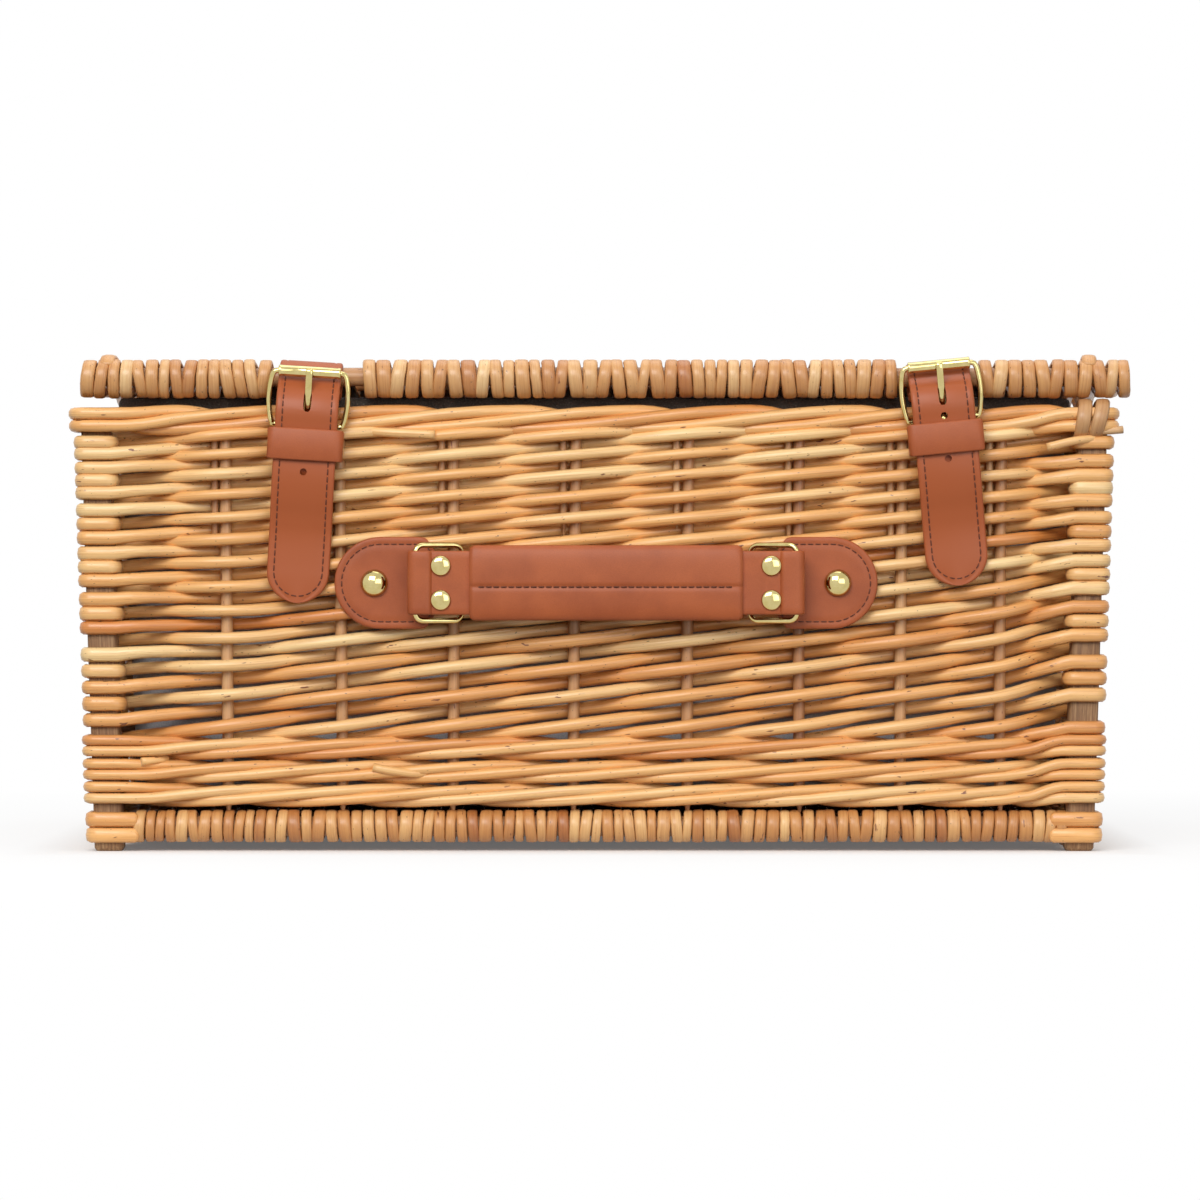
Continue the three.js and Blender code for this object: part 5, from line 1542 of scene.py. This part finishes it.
def dome_profile(radius, height, foot):
    """Profile of a stud's domed head on a shank, from the buried end outwards."""
    profile = [(SHANK_RADIUS, -foot), (SHANK_RADIUS, -0.05), (radius * 0.9, -0.02), (radius, HEAD_RIM)]
    profile += arc((0, HEAD_RIM), radius, range(8, 90, 11), height - HEAD_RIM)
    profile.append((radius * 0.06, height))
    return profile


def flat_head_profile(radius, height, foot):
    """A rivet cap with a rolled rim and a low crown."""
    profile = [(SHANK_RADIUS, -foot), (SHANK_RADIUS, -0.05)]
    profile += [(radius * 0.9, -0.02), (radius * 0.99, 0.12), (radius, 0.4)]
    return profile + [(radius * out, height * rise) for out, rise in FLAT_CROWN]


def head(name, body, centre, outwards, profile, seed):
    piece = Piece(seed)
    piece.turned(profile, centre, outwards, X, HEAD_SIDES)
    piece.build(name, [BRASS], body)


def closure_pieces(closure):
    strap_piece(closure)
    chape_piece(closure)
    keeper_piece(closure)
    buckle_pieces(closure)
    head("chape_rivet_" + closure.side, "basket", closure.point(0, 3.95, -27.5), FORWARD,
         flat_head_profile(3.0, 1.4, 11.0), closure.seed + 70)


# Handle

def handle_point(x, depth, z):
    return Vector((HANDLE_X + x, WALL_FACE_Y - depth, HANDLE_Z + z))


def handle_pieces():
    piece = Piece(901)
    fold = arc((HANDLE_END_X, 0), 2.6, range(90, -91, -18))
    right_end = HANDLE_POCKET + fold + [(x, -gap) for x, gap in reversed(HANDLE_POCKET)]
    outline = right_end + [(-x, -gap) for x, gap in right_end]
    path = closed_evenly([handle_point(x, BAND_DEPTH + gap, 0) for x, gap in outline], 560)
    piece.sweep(path, leather_section(14.0, 1.8), Z, loop=True, origin=1200.0)
    piece.build("handle_strap", [LEATHER], "handle")
    handle_grip()
    for name, side in BOTH_SIDES:
        for level_name, level in (("upper", 1), ("lower", -1)):
            centre = handle_point(side * RIVET_X, BAND_DEPTH + 2.05, level * RIVET_Z)
            head(f"handle_rivet_{name}_{level_name}", "handle", centre, FORWARD,
                 flat_head_profile(4.5, 2.1, 4.6), 930 + side + 3 * level)
        ring_piece(name, side)
        anchor_piece(name, side)
        head("stud_" + name, "basket", handle_point(side * STUD_X, 2.5, 0), FORWARD,
             dome_profile(6.0, 4.4, 10.0), 950 + side)


def grip_section(shrink, puff):
    """Section of the padded grip (z, depth): soft edges, and a seam pressed in along the front."""
    heights = [GRIP_HALF_HEIGHT * share for share in GRIP_SHARES]
    seam = [SEAM_Z + SEAM_HALF_WIDTH * step for step in SEAM_STEPS]
    front = [z for z in heights if z > seam[0] + 0.3]
    front += seam
    front += [-z for z in reversed(heights) if -z < seam[-1] - 0.3]
    back = [-z for z in heights[1:]] + heights[:0:-1]
    section = []
    for number, z in enumerate(front + back):
        depth = GRIP_HALF_DEPTH * (1 - abs(z / GRIP_HALF_HEIGHT) ** GRIP_POWER) ** (1 / GRIP_POWER)
        if number < len(front):
            pressed = SEAM_DEPTH * math.exp(-((z - SEAM_Z) / SEAM_HALF_WIDTH) ** 2)
            section.append((z * shrink, depth * puff - pressed))
        else:
            section.append((z * shrink, -depth * puff))
    return section


def handle_grip():
    """Padded leather sleeve with a stitched line along its middle and soft, slightly dented ends."""
    piece = Piece(902)
    path = []
    sections = []
    line = []
    for number in range(GRIP_POINTS):
        share = number / (GRIP_POINTS - 1)
        x = mix(-GRIP_HALF_LENGTH, GRIP_HALF_LENGTH, share)
        path.append(handle_point(x, BAND_DEPTH, 0))
        end = min(1.0, min(share, 1 - share) * 2 * GRIP_HALF_LENGTH / GRIP_END_ROUND)
        shrink = mix(0.93, 1.0, math.sqrt(max(0.0, 1 - (1 - end) ** 2)))
        puff = shrink * (1 + 0.03 * math.sin(x / 17.0) * math.sin(x / 7.3))
        sections.append(grip_section(shrink, puff))
        if abs(x) < SEAM_HALF_LENGTH:
            line.append(handle_point(x, BAND_DEPTH + GRIP_HALF_DEPTH * puff - SEAM_DEPTH + 0.12, SEAM_Z))
    piece.sweep(path, sections, Z, origin=1500.0)
    piece.stitches(line, FORWARD, 1, 3.2, 0.34)
    grip = piece.build("handle_grip", [LEATHER, THREAD], "handle")


def ring_piece(name, side):
    piece = Piece(910 + side)
    inner = handle_point(side * RING_X, RING_DEPTH, 0)
    outer = handle_point(side * HANDLE_END_X, BAND_DEPTH, 0)
    along = (outer - inner).normalized()
    half = (outer - inner).length / 2
    corners = rounded_corners(half, RING_HALF_HEIGHT, 3.4, 6)
    path = closed_evenly([inner + along * (half + u) + Z * z for u, z in corners], 96)
    piece.sweep(path, oval(1.25, 1.25, 12), along.cross(Z), loop=True)
    piece.build("ring_" + name, [BRASS], "ring_" + name)


def anchor_outline(inset):
    """Outline of the anchor patch (x outwards, z), drawn in from its edge by inset."""
    radius = ANCHOR_RADIUS - inset
    end_x = ANCHOR_END_X - ANCHOR_RADIUS
    half = ANCHOR_NECK_HALF - inset
    points = [(69.8 + inset * 0.4, -half), (72.5, -half)]
    for step in range(1, 8):
        share = step / 8
        points.append((mix(72.5, 80.5, share), -mix(half, radius, smooth_step(share))))
    points += [(mix(81.5, end_x, number / 9), -radius) for number in range(9)]
    points += arc((end_x, 0), radius, range(-90, 91, 6))
    mirrored = [(x, -z) for x, z in points if x < end_x - 0.01]
    return points + mirrored[::-1]


def anchor_piece(name, side):
    """A leather patch with a row of stitches, and the fold that holds the ring."""
    piece = Piece(920 + side)
    rings = []
    for inset, depth in ANCHOR_LAYERS:
        first = len(piece.points)
        for x, z in anchor_outline(inset):
            piece.points.append(handle_point(side * x, depth, z))
            piece.fibres.append((side * x, z, 1800.0 + side * 30))
        rings.append(tuple(range(first, len(piece.points))))
    for low, high in zip(rings, rings[1:]):
        piece.bridge(low, high, flip=side < 0)
    piece.face(rings[-1][::side])
    piece.face(rings[0][::-side])
    edge = [(x, z) for x, z in anchor_outline(ANCHOR_STITCH_INSET) if x > 74]
    piece.stitches([handle_point(side * x, 2.12, z) for x, z in edge], FORWARD)
    control = [(75.0, 1.1), (70.0, 1.1), (RING_X, 1.1)]
    control += arc((RING_X, RING_DEPTH), 2.35, range(250, 90, -20))
    control += [(RING_X, 5.8), (66.2, 5.8)]
    path = curve_through([handle_point(side * x, depth, 0) for x, depth in control], 1.6)
    piece.sweep(path, leather_section(12.0, 1.6), Z)
    piece.build("anchor_" + name, [LEATHER, THREAD], "basket")


def hinge_pieces():
    """Leather loops round the lid's rear rod, sewn and riveted to the rear wall."""
    for index, (name, x) in enumerate(zip(("left", "right"), HINGE_XS)):
        piece = Piece(960 + index)
        course = HINGE_COURSE + arc((LID_REAR_Y, HINGE_AXIS_Z), HINGE_RADIUS, range(0, 306, 15))
        path = curve_through([Vector((x, y, z)) for y, z in course], 2.5)
        sections = []
        for number in range(len(path)):
            narrow = 2.6 * max(0.0, 1 - number / 2) ** 2
            sections.append(leather_section(13.0 - narrow, 2.0, STITCH_INSET))
        piece.sweep(path, sections, -X, origin=2100.0 + index * 50)
        line = []
        for sign, levels in ((1, range(190, 155, -3)), (-1, range(157, 191, 3))):
            for z in levels:
                line.append(Vector((x + sign * HINGE_STITCH_X, HINGE_TAIL_Y + 0.86, z)))
        piece.stitches(line, Y)
        piece.build("hinge_loop_" + name, [LEATHER, THREAD], "basket")
        head("hinge_rivet_" + name, "basket", Vector((x, 169.7, 162.0)), Y,
             flat_head_profile(4.5, 2.0, 10.0), 970 + index)


# Stage: floor, background, light and camera

def add_floor():
    """A white floor that fades into the background round the basket."""
    mesh = bpy.data.meshes.new("floor")
    corners = ((-1, -1), (1, -1), (1, 1), (-1, 1))
    mesh.from_pydata([(FLOOR_REACH * x, FLOOR_REACH * y, 0) for x, y in corners], [], [(0, 1, 2, 3)])
    floor = add_object("floor", mesh)
    n = new_material("floor")
    mesh.materials.append(n.finish(Base_Color=grey(0.94), Roughness=0.9))
    glow = n.add("ShaderNodeEmission", None, Strength=n.seen_rays())
    place = n.add("ShaderNodeTexCoord").outputs["Object"]
    axes = n.add("ShaderNodeSeparateXYZ", None, Vector=place)
    beyond_x = n.math("SUBTRACT", n.math("ABSOLUTE", axes.outputs["X"]), FLOOR_HALF_X)
    from_middle = n.math("SUBTRACT", axes.outputs["Y"], SET_BACK * MM)
    beyond_y = n.math("SUBTRACT", n.math("ABSOLUTE", from_middle), FLOOR_HALF_Y)
    beyond = n.math("MULTIPLY", n.math("MAXIMUM", beyond_x, beyond_y), 1 / FLOOR_FADE)
    spread = n.ramp(beyond, [(0.0, grey(0.12)), (0.1, grey(0.8)), (1.0, grey(1.0))])
    share = n.add("ShaderNodeMixShader")
    for socket, value in (("0", spread), ("1", n.shader.outputs[0]), ("2", glow.outputs[0])):
        n.set(share, socket, value)
    n.set(n.tree.nodes["Material Output"], "Surface", share.outputs[0])


def add_world():
    """A white background that lights the scene less than it shows."""
    n = Nodes(bpy.data.worlds.new("studio"))
    bpy.context.scene.world = n.owner
    strength = n.add("ShaderNodeMapRange", None, Value=n.seen_rays(), To_Min=WORLD_STRENGTH, To_Max=1.0)
    back = n.tree.nodes["Background"]
    n.set(back, "Strength", strength.outputs[0])
    n.set(back, "Color", grey(1.0))


def add_lamps():
    for name, place, size, power in LAMPS:
        lamp = bpy.data.lights.new(name, "AREA")
        lamp.shape = "RECTANGLE"
        lamp.size, lamp.size_y = size
        lamp.energy = power
        obj = add_object(name, lamp)
        obj.location = place
        obj.rotation_euler = (LAMP_AIM - Vector(place)).to_track_quat("-Z", "Y").to_euler()


def add_camera():
    camera = bpy.data.cameras.new("camera")
    camera.sensor_fit = "HORIZONTAL"
    camera.angle = 2 * math.atan(CAMERA_WIDTH / 2 / CAMERA_DISTANCE)
    obj = add_object("camera", camera)
    obj.location = (CAMERA_X, FRONT_Y - CAMERA_DISTANCE, CAMERA_Z)
    obj.rotation_euler = (math.radians(90), 0, 0)
    bpy.context.scene.camera = obj
    bpy.context.scene.view_settings.view_transform = "Standard"


add_floor()
add_world()
add_lamps()
add_camera()
corner_posts()
for wall in WALLS:
    weave_piece(wall)
    stakes_piece(wall)
base_pieces()
lid_pieces()
liner_pieces()
for settings in CLOSURES:
    closure_pieces(Closure(**settings))
handle_pieces()
hinge_pieces()
